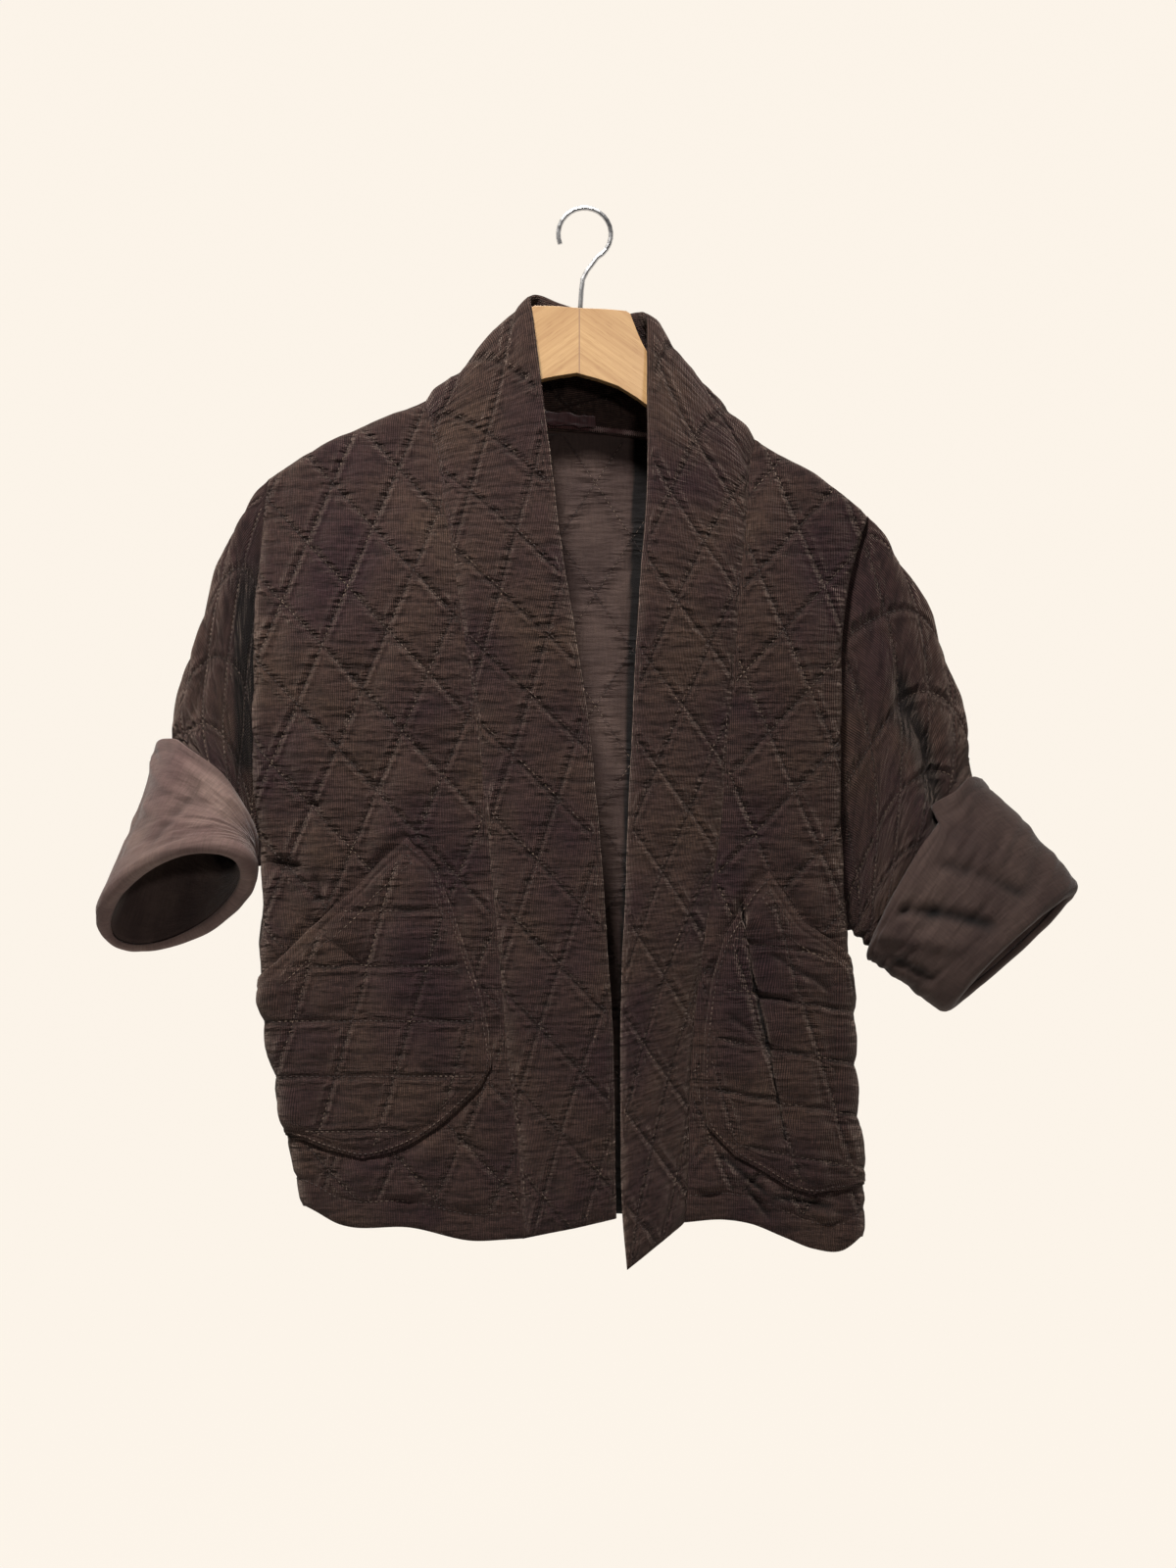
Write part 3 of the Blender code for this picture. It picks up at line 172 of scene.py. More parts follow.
# The deepest folds, which are narrow; crease_shade paints shade into them.
DEEP = {
    LEFT: rows_of(Fold, (-210, 447, -199, 451, -2.5, 2.5), (-240, 492, -214, 495, -3.0, 2.6),
           (-203, 500, -201, 522, -2.4, 2.4), (-100, 700, -72, 712, -2.2, 2.4)),
    RIGHT: rows_of(Fold, (117, 522, 121, 553, -4.5, 2.6), (121, 553, 128, 594, -6.0, 3.4),
            (128, 594, 139, 640, -6.0, 3.6), (139, 640, 150, 704, -4.5, 2.6),
            (100, 712, 138, 744, -4.0, 2.8), (138, 744, 186, 752, -4.5, 2.8),
            (128, 592, 160, 598, -2.5, 2.6), (121, 738, 140, 762, -3.5, 2.6),
            (104, 606, 128, 622, -2.4, 2.6), (138, 560, 182, 590, -2.4, 2.6)),
}
BACK_CREASES = rows_of(Fold, (-150, 260, -140, 470, 1.6, 14), (120, 300, 132, 560, -1.6, 13),
                (-60, 420, -66, 690, -1.3, 12), (40, 240, 30, 430, 1.3, 12),
                (-196, 480, -150, 506, -1.8, 6), (150, 520, 186, 544, -1.8, 6),
                (-20, 560, 4, 740, 1.4, 13), (90, 600, 80, 750, -1.5, 11))

Ring = namedtuple("Ring", "top_x top_y top_down under_x under_y under_down reach_x reach_y reach_down")
SLEEVE = {
    LEFT: rows_of(Ring,
        (-239, 0, 203, -242, 0, 492, 0, -13, 0), (-262, 0, 240, -251, 0, 492, -1, -14, -2),
        (-280, -1, 290, -257, -6, 492, -1, -18, -5), (-296, -4, 340, -260, -14, 491, 0, -22, -12),
        (-309, -7, 388, -261, -22, 490, 2, -25, -22), (-316, -10, 425, -262, -30, 489, 3, -25, -28),
        (-336, -10, 485, -262, -40, 490, -4, -26, -28),
        (-358, -14, 544, -261, -52, 494, -12, -25, -28),
    ),
    RIGHT: rows_of(Ring,
        (212, 0, 231, 195, 0, 540, 0, -13, 0), (236, 0, 268, 202, 0, 543, 0, -15, 0),
        (256, 0, 306, 207, -4, 546, 0, -19, -1), (272, -2, 350, 211, -8, 549, 0, -23, -2),
        (284, -4, 392, 216, -12, 553, -1, -26, -3), (294, -8, 436, 223, -16, 558, -3, -26, -4),
        (327, -10, 474, 246, -18, 574, -4, -26, -5), (361, -12, 514, 274, -18, 594, -4, -25, -5),
    ),
}
SLEEVE_LAST = 7
REAR_SHARE = 0.85
CUFF_START = 4.6
CUFF_OFFSET = 10
BLEND_RINGS = 1.5
Notch = namedtuple("Notch", "angle width depth first last")
NOTCH = {LEFT: Notch(0.9, 0.2, 3, 1, 5), RIGHT: Notch(1.15, 0.16, 11, 0.8, 5.4)}
# Diamonds of the sleeves are counted in these cells, four to a diamond.
SLEEVE_CELLS_ROUND = 32
SLEEVE_CELLS_ALONG = 16
BAND_SHARES = [0, 0.1, 0.23, 0.37, 0.51, 0.65, 0.79, 0.93, 1]


def column(rows, name):
    return np.array([getattr(row, name) for row in rows], float)


def hermite(u, start, end, start_slope, end_slope):
    """A curve from start to end as u goes from nought to one, with these slopes at its ends."""
    return (
        start * (2 * u**3 - 3 * u**2 + 1) + start_slope * (u**3 - 2 * u**2 + u)
        + end * (3 * u**2 - 2 * u**3) + end_slope * (u**3 - u**2)
    )


def through(xs, ys, x):
    """Heights at x of a smooth curve through the points, straight beyond its ends."""
    xs, ys, x = np.asarray(xs, float), np.asarray(ys, float), np.asarray(x, float)
    steps = np.diff(ys) / np.diff(xs)
    share = (xs[1:-1] - xs[:-2]) / (xs[2:] - xs[:-2])
    inner = steps[:-1] * (1 - share) + steps[1:] * share
    slopes = np.concatenate([steps[:1], inner, steps[-1:]])
    i = np.clip(np.searchsorted(xs, x, "right") - 1, 0, len(xs) - 2)
    width = xs[i + 1] - xs[i]
    u = np.clip((x - xs[i]) / width, 0, 1)
    y = hermite(u, ys[i], ys[i + 1], slopes[i] * width, slopes[i + 1] * width)
    return y + slopes[0] * np.minimum(x - xs[0], 0) + slopes[-1] * np.maximum(x - xs[-1], 0)


def read(rows, by, name, at):
    """A table's column as a smooth curve over another of its columns."""
    return through(column(rows, by), column(rows, name), at)


def ease(u):
    return 1 - (1 - np.clip(u, 0, 1)) ** 2.2


def step(u):
    u = np.clip(u, 0, 1)
    return u * u * (3 - 2 * u)


def placed(x, y, down):
    """Real places of what is seen at x and down, at depth y."""
    near = 1 + y / EYE_DISTANCE
    return np.stack([EYE_X + (x - EYE_X) * near, y + 0 * x, -(EYE_DOWN + (down - EYE_DOWN) * near)], -1)


def ridge_down(side, out):
    return read(RIDGE[side], "out", "down", out)


def side_out(side, down):
    return read(SIDE[side], "down", "out", down)


def lens(side, down):
    top, bottom = ARMHOLE[side]
    u = np.clip((down - top) / (bottom - top), 0, 1)
    return ARMHOLE_HALF * np.abs(np.sin(math.pi * u)) ** 0.6


def over_ridge(below, full):
    below = np.maximum(below, 0)
    near = np.minimum(below, RIDGE_ROUND) / RIDGE_ROUND
    rise = np.sqrt(np.maximum(1 - (1 - near) ** 2, 0))
    return RIDGE_ROUND * rise + (full - RIDGE_ROUND) * ease(below / DRAPE_LENGTH)


def crease_height(crease, along, across, length):
    """The height of a crease at places along and across it. It fades beyond both ends."""
    near_start = step((along + crease.width) / (3 * crease.width))
    near_end = step((length + crease.width - along) / (3 * crease.width))
    return crease.height * (near_start * near_end) * np.exp(-((across / crease.width) ** 2) * 1.4)


def folds_at(folds, x, down):
    total = 0 * x
    for f in folds:
        length = math.hypot(f.x1 - f.x0, f.down1 - f.down0)
        ux, ud = (f.x1 - f.x0) / length, (f.down1 - f.down0) / length
        along = (x - f.x0) * ux + (down - f.down0) * ud
        across = (x - f.x0) * ud - (down - f.down0) * ux
        total = total + crease_height(f, along, across, length)
    return total


def front_depth(side, out, down):
    rows = FRONT_DEPTH[side]
    seam, middle, edge = (read(rows, "down", name, down) for name in ("seam", "middle", "side"))
    start = 60
    share = (out - start) / (side_out(side, down) - start)
    full = blend_three(seam, middle, edge, share)
    below = down - ridge_down(side, out)
    return over_ridge(below, full) + folds_at(FOLDS[side], side * out, down) * ease(below / 120)


def blend_three(a, b, c, share):
    """A smooth curve through a, b and c at nought, a half and one, straight beyond."""
    first, second = (b - a) * 2, (c - b) * 2
    middle = (first + second) / 2
    low = share < 0.5
    u = np.clip(np.where(low, share * 2, share * 2 - 1), 0, 1)
    y0, y1 = np.where(low, a, b), np.where(low, b, c)
    y = hermite(u, y0, y1, np.where(low, first, middle) * 0.5, np.where(low, middle, second) * 0.5)
    return y + first * np.minimum(share, 0) + second * np.maximum(share - 1, 0)


def back_depth(side, out, down):
    share = out / side_out(side, down)
    full = BACK_CENTRE + (BACK_SIDE - BACK_CENTRE) * share**2
    return over_ridge(down - ridge_down(side, out), full)


Turn = namedtuple("Turn", "start radius depth end")


def turn_at(side, down, rear):
    largest = BACK_FOLD_RADIUS if rear else FOLD_RADIUS
    radius = 5 + (largest - 5) * step((down - ARMHOLE[side][0]) / 70)
    start = side_out(side, down) - radius
    depth = (back_depth if rear else front_depth)(side, start, down)
    rest = depth - radius - lens(side, down)
    return Turn(start, radius, depth, start + radius * math.pi / 2 + rest)


def on_body(side, out, down, rear):
    """Points of the body's cloth at distances out along it, in real millimetres."""
    turn = turn_at(side, down, rear)
    flat = (back_depth if rear else front_depth)(side, out, down)
    angle = np.clip((out - turn.start) / turn.radius, 0, math.pi / 2)
    past = np.maximum(out - turn.start - turn.radius * math.pi / 2, 0)
    round_x = turn.start + turn.radius * np.sin(angle)
    round_depth = turn.depth - turn.radius * (1 - np.cos(angle)) - past
    on_flat = out <= turn.start
    x = np.where(on_flat, out, round_x)
    depth = np.where(on_flat, flat, round_depth)
    return placed(side * x, depth if rear else -depth, down)


class Lattice:
    """The diamonds of the quilting: two families of lines along two vectors."""

    def __init__(self, origin, first, second):
        self.origin = np.array(origin, float)
        self.basis = np.array([first, second], float).T
        self.back = np.linalg.inv(self.basis)

    def cell(self, a, b):
        p = np.stack([a - self.origin[0], b - self.origin[1]])
        return np.tensordot(self.back, p, axes=1)

    def point(self, i, j):
        return self.origin[:, None] + self.basis @ np.stack([i, j])

    def height(self, a, b):
        i, j = self.cell(a, b)
        return pillow(np.sin(math.pi * i), np.sin(math.pi * j))


LINE_ROUND = 0.1


def pillow(a, b):
    """A quilted puff from two waves that are nought on the lines of stitching."""
    rounded = [(np.sqrt(w * w + LINE_ROUND**2) - LINE_ROUND) / (1 - LINE_ROUND * 0.9) for w in (a, b)]
    return (rounded[0] * rounded[1]) ** 0.58


FRONT_LATTICE = Lattice((190.9, 206.7), (-30.3, 32.6), (19.2, 44.4))
BACK_LATTICE = Lattice((7, 206), (-28, 42), (28, 42))
POCKET_LATTICE = {
    LEFT: Lattice((120, 570), (44, 0), (12, 41.5)),
    RIGHT: Lattice((120, 590), (43, 8), (12, 41)),
}
# The band's own, across it from the seam and along it from the left hem.
BAND_LATTICE = Lattice((20, 26), (30.3, -32.6), (-19.2, -44.4))


def noise(a, b, size_a, size_b, seed):
    """Smooth noise from minus one to one, with its own grain each way."""
    table = np.random.default_rng(seed).uniform(-1, 1, (64, 64))
    u, v = a / size_a, b / size_b
    i, j = np.floor(u).astype(int), np.floor(v).astype(int)
    fu, fv = step(u - i), step(v - j)
    i0, i1, j0, j1 = i % 64, (i + 1) % 64, j % 64, (j + 1) % 64
    low = table[i0, j0] * (1 - fu) + table[i1, j0] * fu
    high = table[i0, j1] * (1 - fu) + table[i1, j1] * fu
    return low * (1 - fv) + high * fv


def puckers(a, b, height, seed):
    """Small wrinkles that gather along the stitching, mostly lying across the wales."""
    near = np.exp(-height / 0.35)
    fine = noise(a, b, 16, 3.6, seed) * 0.55 + noise(a, b, 8, 6, seed + 1) * 0.3
    wide = noise(a, b, 42, 24, seed + 2)
    return fine * (0.4 + 1.3 * near) + wide * 1.0


def polygon_distance(a, b, outline):
    """How far flat points lie from an outline, below nought inside it."""
    p = np.stack([a, b], -1)[..., None, :]
    start = np.array(outline, float)
    way = np.roll(start, -1, axis=0) - start
    t = np.clip(((p - start) * way).sum(-1) / np.maximum((way**2).sum(-1), 1e-9), 0, 1)
    distance = np.sqrt((((start + way * t[..., None]) - p) ** 2).sum(-1).min(-1))
    y0, y1 = start[:, 1], np.roll(start[:, 1], -1)
    x0, x1 = start[:, 0], np.roll(start[:, 0], -1)
    px, py = p[..., 0], p[..., 1]
    crossing = ((y0 > py) != (y1 > py)) & (px < x0 + (py - y0) * (x1 - x0) / np.where(y1 == y0, 1, y1 - y0))
    inside = crossing.sum(-1) % 2 == 1
    return np.where(inside, -distance, distance)


def unit(v):
    return v / np.maximum(np.linalg.norm(v, axis=-1, keepdims=True), 1e-9)


def running(steps):
    """Distances from the start, from the lengths of the steps."""
    return np.concatenate([[0], np.cumsum(steps)])


def girth(tube):
    """How far round a tube each of its columns lies, and the first one again at the end."""
    return running(np.linalg.norm(np.roll(tube, -1, axis=1) - tube, axis=-1).mean(0))


def grid_normals(grid, closed=False):
    """Directions square to a grid of points, which may close round its second way."""
    along = np.gradient(grid, axis=0)
    if closed:
        across = np.roll(grid, -1, axis=1) - np.roll(grid, 1, axis=1)
    else:
        across = np.gradient(grid, axis=1)
    return unit(np.cross(along, across))


def facing(normals, way):
    """The normals, all turned together so that most point along a way."""
    return normals if (normals * way).sum() > 0 else -normals


# Materials.
class Look:
    """A material, with short ways to add linked nodes to it."""

    def __init__(self, name):
        self.material = bpy.data.materials.new(name)
        self.material.use_nodes = True
        self.tree = self.material.node_tree
        self.shader = self.tree.nodes["Principled BSDF"]

    def give(self, node, inputs):
        """Give each named or numbered input a number, a colour or a link."""
        for key, value in inputs.items():
            socket = node.inputs[key]
            if isinstance(value, bpy.types.NodeSocket):
                self.tree.links.new(value, socket)
            else:
                socket.default_value = (*value, 1) if socket.type == "RGBA" else value

    def shade(self, inputs):
        """Set the shader's own inputs. This finishes the material."""
        self.give(self.shader, inputs)
        return self.material

    def node(self, kind, inputs, **settings):
        node = self.tree.nodes.new("ShaderNode" + kind)
        for key, value in settings.items():
            setattr(node, key, value)
        self.give(node, inputs)
        return node

    def layer(self, name):
        return self.node("UVMap", {}, uv_map=name).outputs[0]

    def places(self, name="Object"):
        return self.node("TexCoord", {}).outputs[name]

    def parts(self, source):
        return self.node("SeparateXYZ", {0: source}).outputs

    def noise(self, source, scale, detail=3.0):
        return self.node("TexNoise", {"Vector": source, "Scale": scale, "Detail": detail}).outputs["Fac"]

    def drawn_noise(self, source, scales, detail=3.0):
        """Noise with its own scale along each axis."""
        drawn = self.node("Mapping", {"Vector": source, "Scale": scales})
        return self.noise(drawn.outputs[0], 1.0, detail)

    def math(self, operation, *values):
        return self.node("Math", dict(enumerate(values)), operation=operation).outputs[0]

    def ramp(self, source, stops):
        node = self.node("ValToRGB", {"Fac": source})
        for element, (place, colour) in zip(node.color_ramp.elements, stops):
            element.position = place
            element.color = (*colour, 1)
        return node.outputs["Color"]

    def mix(self, factor, a, b, blend="MIX"):
        return self.node("Mix", {0: factor, 6: a, 7: b}, data_type="RGBA", blend_type=blend).outputs[2]

    def tint(self, colour, source, stops):
        """A colour multiplied by a ramp of a value."""
        return self.mix(1.0, colour, self.ramp(source, stops), "MULTIPLY")

    def smoothstep(self, value, reach, low=0.0, high=1.0):
        """A smooth change from low, where the value is nought, to high, where it comes to the reach."""
        inputs = {"Value": value, "From Max": reach, "To Min": low, "To Max": high}
        return self.node("MapRange", inputs, interpolation_type="SMOOTHSTEP").outputs[0]

    def bump(self, height, distance, strength, normal=None):
        inputs = {"Height": height, "Distance": distance, "Strength": strength}
        if normal is not None:
            inputs["Normal"] = normal
        return self.node("Bump", inputs).outputs["Normal"]


# Sizes in metres, as in the "UVMap" layer, and the cloth's colours.
WALE = 0.00128
WALE_SWAY = 0.0022
LINING_THREAD = 0.0006
CORD_PURPLE = (0.0192, 0.0092, 0.0110)
CORD_BROWN = (0.0370, 0.0222, 0.0168)
# The colour of painted shade, laid into creases, gaps and shadowed strips by the second value of the fade
# layer.
CREASE_SHADE = (0.0035, 0.0025, 0.0025)


def quilting(look):
    """How near the stitching is, and how much painted shade the cloth gets in its deepest creases and
    shadowed gaps.
    """
    cells, strength = look.parts(look.layer("quilt")), look.parts(look.layer("fade"))
    waves = []
    for k in (0, 1):
        wave = look.math("SINE", look.math("MULTIPLY", cells[k], math.pi))
        waves.append(look.math("ABSOLUTE", wave))
    away = look.math("SUBTRACT", 1.0, strength[0])
    return look.math("ADD", look.math("MINIMUM", *waves), away), strength[1]


def wrinkles(look, uv, nearest):
    """Fine gathers across the cloth's length: deepest beside the stitching, and the same all over."""
    even = look.drawn_noise(uv, (48, 210, 1))
    return look.math("MULTIPLY", even, look.smoothstep(nearest, 0.62, 1.0, 0.3)), even


def darker_lines(look, colour, nearest, reach, dark):
    """The cloth's colour, darker within some reach of its lines of stitching: partly painted shade in the
    grooves there, partly dirt and nap pressed down along the thread.
    """
    return look.tint(colour, look.smoothstep(nearest, reach), [(0.0, dark), (1.0, (1.0, 1.0, 1.0))])


def corduroy():
    """Fine-wale corduroy: rounded cords along the cloth and a soft nap, with painted light and shade on the
    cords, in streaks along the wales and in the troughs of the fine gathers.
    """
    look = Look("corduroy")
    uv = look.layer("UVMap")
    sway = look.math("MULTIPLY", look.noise(uv, 40, 1.0), WALE_SWAY)
    turn = look.math("MULTIPLY", look.math("ADD", look.parts(uv)[0], sway), 2 * math.pi / WALE)
    cord = look.math("ADD", look.math("MULTIPLY", look.math("SINE", turn), 0.5), 0.5)
    nearest, painted_shade = quilting(look)
    gathers, even = wrinkles(look, uv, nearest)
    streak = look.drawn_noise(uv, (760, 170, 1))
    fuzz = look.noise(uv, 1900, 2.0)

    colour = look.ramp(look.noise(uv, 13, 6.0), [(0.34, CORD_PURPLE), (0.66, CORD_BROWN)])
    # Painted light and shade: lighter cord crests and darker grooves between cords, light and dark streaks
    # along the wales, darker troughs of the gathers.
    tints = (
        (cord, [(0.05, (0.22, 0.20, 0.20)), (0.62, (1.38, 1.38, 1.38))]),
        (streak, [(0.35, (0.70, 0.68, 0.69)), (0.72, (1.42, 1.38, 1.32))]),
        (even, [(0.34, (0.58, 0.56, 0.57)), (0.52, (1.1, 1.1, 1.08))]),
    )
    for source, stops in tints:
        colour = look.tint(colour, source, stops)
    colour = darker_lines(look, colour, nearest, 0.12, (0.46, 0.42, 0.42))
    normal = look.bump(look.smoothstep(nearest, 0.34), 0.0042, 1.0)
    normal = look.bump(gathers, 0.0105, 1.0, normal)
    normal = look.bump(look.math("ADD", cord, look.math("MULTIPLY", fuzz, 0.35)), 0.0006, 0.7, normal)
    # Painted shade: the base colour goes toward CREASE_SHADE by the shade value.
    return look.shade({
        "Base Color": look.mix(painted_shade, colour, CREASE_SHADE), "Normal": normal, "Roughness": 0.9,
        "Specular IOR Level": 0.16, "Sheen Weight": 0.16, "Sheen Roughness": 0.4,
        "Sheen Tint": (0.78, 0.58, 0.48),
    })


def lining(name, dark, pale):
    """A plain woven lining with slubs, quilted through and creased."""
    look = Look(name)
    uv = look.layer("UVMap")
    parts = look.parts(uv)
    waves = []
    for k in (0, 1):
        turn = look.math("MULTIPLY", parts[k], 2 * math.pi / LINING_THREAD)
        waves.append(look.math("SINE", turn))
    weave = look.math("MULTIPLY", *waves)
    nearest, painted_shade = quilting(look)
    gathers, _ = wrinkles(look, uv, nearest)
    slub = look.drawn_noise(uv, (700, 90, 1), 4.0)
    colour = look.ramp(look.noise(uv, 20, 5.0), [(0.34, dark), (0.66, pale)])
    colour = look.tint(colour, slub, [(0.3, (0.82, 0.82, 0.82)), (0.7, (1.16, 1.15, 1.14))])
    colour = darker_lines(look, colour, nearest, 0.1, (0.55, 0.5, 0.5))
    normal = look.bump(gathers, 0.0045, 1.0)
    normal = look.bump(look.math("ADD", look.math("MULTIPLY", weave, 0.4), slub), 0.0003, 0.5, normal)
    # Painted shade: the base colour goes toward CREASE_SHADE by the shade value.
    return look.shade({
        "Base Color": look.mix(painted_shade, colour, CREASE_SHADE), "Normal": normal, "Roughness": 0.8,
        "Specular IOR Level": 0.2, "Sheen Weight": 0.1, "Sheen Roughness": 0.4,
    })


def satin():
    """Dark red satin with fine threads across the strip."""
    look = Look("satin")
    thread = look.drawn_noise(look.places("UV"), (60, 900, 1))
    tone = look.ramp(thread, [(0.3, (0.026, 0.008, 0.009)), (0.7, (0.085, 0.030, 0.032))])
    return look.shade({
        "Base Color": tone, "Normal": look.bump(thread, 0.0002, 0.4), "Roughness": 0.3,
        "Specular IOR Level": 0.5, "Anisotropic": 0.4,
    })


def thread_material(name, dark, pale):
    """Sewing thread, more rubbed and paler in some places than in others."""
    look = Look(name)
    place = look.places()
    tone = look.ramp(look.noise(place, 34, 3.0), [(0.46, dark), (0.70, pale)])
    fibre = look.bump(look.noise(place, 4000, 1.0), 0.0001, 0.5)
    return look.shade({"Base Color": tone, "Normal": fibre, "Roughness": 0.6})


def wood():
    """Pale beech with fine long grain, following each arm, and a dark joint at the middle."""
    look = Look("wood")
    x, y, z = look.parts(look.places())
    out = look.math("ABSOLUTE", look.math("SUBTRACT", x, -0.005))
    sloped = look.math("ADD", z, look.math("MULTIPLY", out, 0.72))
    stretched = [look.math("MULTIPLY", part, scale) for part, scale in ((out, 12), (y, 260), (sloped, 260))]
    along = look.node("CombineXYZ", dict(enumerate(stretched))).outputs[0]
    grain = look.noise(along, 1.0, 5.0)
    pore = look.drawn_noise(along, (9, 5, 5), 2.0)
    colour = look.ramp(grain, [(0.3, (0.32, 0.172, 0.062)), (0.7, (0.43, 0.262, 0.110))])
    colour = look.tint(colour, pore, [(0.28, (0.78, 0.70, 0.62)), (0.42, (1, 1, 1))])
    colour = look.mix(look.math("LESS_THAN", out, 0.00045), colour, (0.22, 0.12, 0.06))
    return look.shade({
        "Base Color": colour, "Normal": look.bump(grain, 0.0003, 0.3), "Roughness": 0.42,
        "Coat Weight": 0.25, "Coat Roughness": 0.3,
    })


def steel():
    """Bright wire, a little smeared."""
    look = Look("steel")
    smear = look.noise(look.places(), 160, 3.0)
    tone = look.ramp(smear, [(0.3, (0.50, 0.50, 0.51)), (0.7, (0.66, 0.66, 0.67))])
    rough = look.ramp(smear, [(0.3, (0.30, 0.30, 0.30)), (0.7, (0.44, 0.44, 0.44))])
    return look.shade({"Base Color": tone, "Roughness": rough, "Metallic": 1.0})


CORDUROY = corduroy()
LINING = lining("lining", (0.090, 0.054, 0.050), (0.145, 0.098, 0.084))
# A darker copy of the same lining: painted shade for the insides of the back and sleeves and for the right
# cuff.
LINING_PAINTED_SHADE = lining("lining_painted_shade", (0.031, 0.018, 0.016), (0.058, 0.037, 0.031))
SATIN = satin()
THREAD = thread_material("sewing_thread", (0.026, 0.014, 0.012), (0.165, 0.110, 0.080))
OVERLOCK = thread_material("overlock_thread", (0.10, 0.035, 0.035), (0.42, 0.30, 0.28))
WOOD = wood()
STEEL = steel()


# Meshes.
def add_object(name, data):
    obj = bpy.data.objects.new(name, data)
    bpy.context.scene.collection.objects.link(obj)
    return obj


def make_piece(name, points, quads, uvs, looks, kinds, nodes=()):
    """A mesh piece with its looks and its UV maps, given for each face's corners."""
    mesh = bpy.data.meshes.new(name)
    mesh.from_pydata((points * MM).tolist(), [], quads.tolist())
    for look in looks:
        mesh.materials.append(look)
    mesh.polygons.foreach_set("material_index", np.asarray(kinds, np.int32))
    mesh.polygons.foreach_set("use_smooth", np.ones(len(quads), bool))
    for title, corners in uvs.items():
        layer = mesh.uv_layers.new(name=title)
        layer.data.foreach_set("uv", np.asarray(corners, np.float32).reshape(-1))
    mesh.update()
    obj = add_object(name, mesh)
    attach(obj, "root")
    if nodes:
        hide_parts(*nodes)
    return obj


PLAIN = (0.5, 0.5)


def shell(name, middle, normals, outer, inner, uv, looks, nodes,
          closed=False, quilt=None, fade=0, shade=0, inner_shade=0):
    """A closed thin shell about a grid of middle points, with its own reach each way."""
    rows, columns = middle.shape[:2]
    points = np.vstack([
        (middle + normals * outer[..., None]).reshape(-1, 3),
        (middle - normals * inner[..., None]).reshape(-1, 3),
    ])
    size = rows * columns
    wide = columns if closed else columns - 1
    i, j = np.meshgrid(np.arange(rows - 1), np.arange(wide), indexing="ij")
    i, j = i.ravel(), j.ravel()
    k = (j + 1) % columns
    quads = np.stack([i * columns + j, (i + 1) * columns + j, (i + 1) * columns + k, i * columns + k], 1)
    corners = np.stack([np.stack([i, j], 1), np.stack([i + 1, j], 1),
                        np.stack([i + 1, j + 1], 1), np.stack([i, j + 1], 1)], 1)
    flip = (np.cross(np.gradient(middle, axis=0), np.gradient(middle, axis=1)) * normals).sum() < 0
    if flip:
        quads, corners = quads[:, ::-1], corners[:, ::-1]
    edge = edge_quads(rows, columns, closed, flip)
    back_quads, back_corners = quads[:, ::-1] + size, corners[:, ::-1]
    faces = np.vstack([quads, back_quads, edge])
    edge_flat = edge % size
    edge_corners = np.stack([edge_flat // columns, edge_flat % columns], -1)
    all_corners = np.vstack([corners, back_corners, edge_corners])
    if quilt is None:
        quilt = np.full(uv.shape, PLAIN[0])
    # The fade layer's second value is painted shade; inner_shade adds painted shade on the inner face only.
    strength = np.stack([fade + 0 * uv[..., 0], shade + 0 * uv[..., 0]], -1)
    within = np.stack([strength[..., 0], strength[..., 1] + inner_shade], -1)
    grids = {"UVMap": uv, "quilt": quilt, "fade": strength}
    uvs = {title: grid[all_corners[..., 0], all_corners[..., 1]] for title, grid in grids.items()}
    uvs["fade"][len(quads):2 * len(quads)] = within[back_corners[..., 0], back_corners[..., 1]]
    kinds = np.concatenate([np.zeros(len(quads)), np.full(len(quads), len(looks) - 1), np.zeros(len(edge))])
    return make_piece(name, points, faces, uvs, looks, kinds, nodes)


def edge_quads(rows, columns, closed, flip):
    """The faces that close a shell along its rims."""
    size = rows * columns
    loops = []
    j = np.arange(columns if closed else columns - 1)
    k = (j + 1) % columns
    loops.append((k, j))
    loops.append(((rows - 1) * columns + j, (rows - 1) * columns + k))
    if not closed:
        i = np.arange(rows - 1)
        loops.append((i * columns, (i + 1) * columns))
        loops.append(((i + 1) * columns + columns - 1, i * columns + columns - 1))
    quads = np.vstack([np.stack([a, b, b + size, a + size], 1) for a, b in loops])
    return quads if flip else quads[:, ::-1]


STITCH_LENGTH = 2.7
STITCH_PITCH = 4.0
STITCH_WIDTH = 0.55


def stitches(name, starts, ends, normals, look=None):
    """A row of sewing, each stitch a small flat-topped bar that dips into the cloth at its ends."""
    way = ends - starts
    half = unit(np.cross(way, normals)) * STITCH_WIDTH / 2
    low, high = normals * -0.5, normals * 0.45
    inset = way * 0.22
    points = np.stack([
        starts - half + low, starts + half + low, starts + half * 0.7 + inset + high,
        starts - half * 0.7 + inset + high, ends - half + low, ends + half + low,
        ends + half * 0.7 - inset + high, ends - half * 0.7 - inset + high,
    ], 1)
    box = np.array([[0, 3, 2, 1], [4, 5, 6, 7], [0, 1, 5, 4], [1, 2, 6, 5], [2, 3, 7, 6], [3, 0, 4, 7]])
    quads = (np.arange(len(points))[:, None, None] * 8 + box).reshape(-1, 4)
    uvs = {"UVMap": np.zeros((len(quads), 4, 2))}
    return make_piece(name, points.reshape(-1, 3), quads, uvs, [look or THREAD],
                      np.zeros(len(quads)))


# Places on the garment, with how far its outer face stands out there.
def body_frame(side, out, down, rear):
    """Points of the body's middle surface with the direction out of the garment."""
    here = on_body(side, out, down, rear)
    across = on_body(side, out + 1, down, rear) - on_body(side, out - 1, down, rear)
    along = on_body(side, out, down + 1, rear) - on_body(side, out, down - 1, rear)
    return here, unit(np.cross(across, along) * (side if rear else -side))


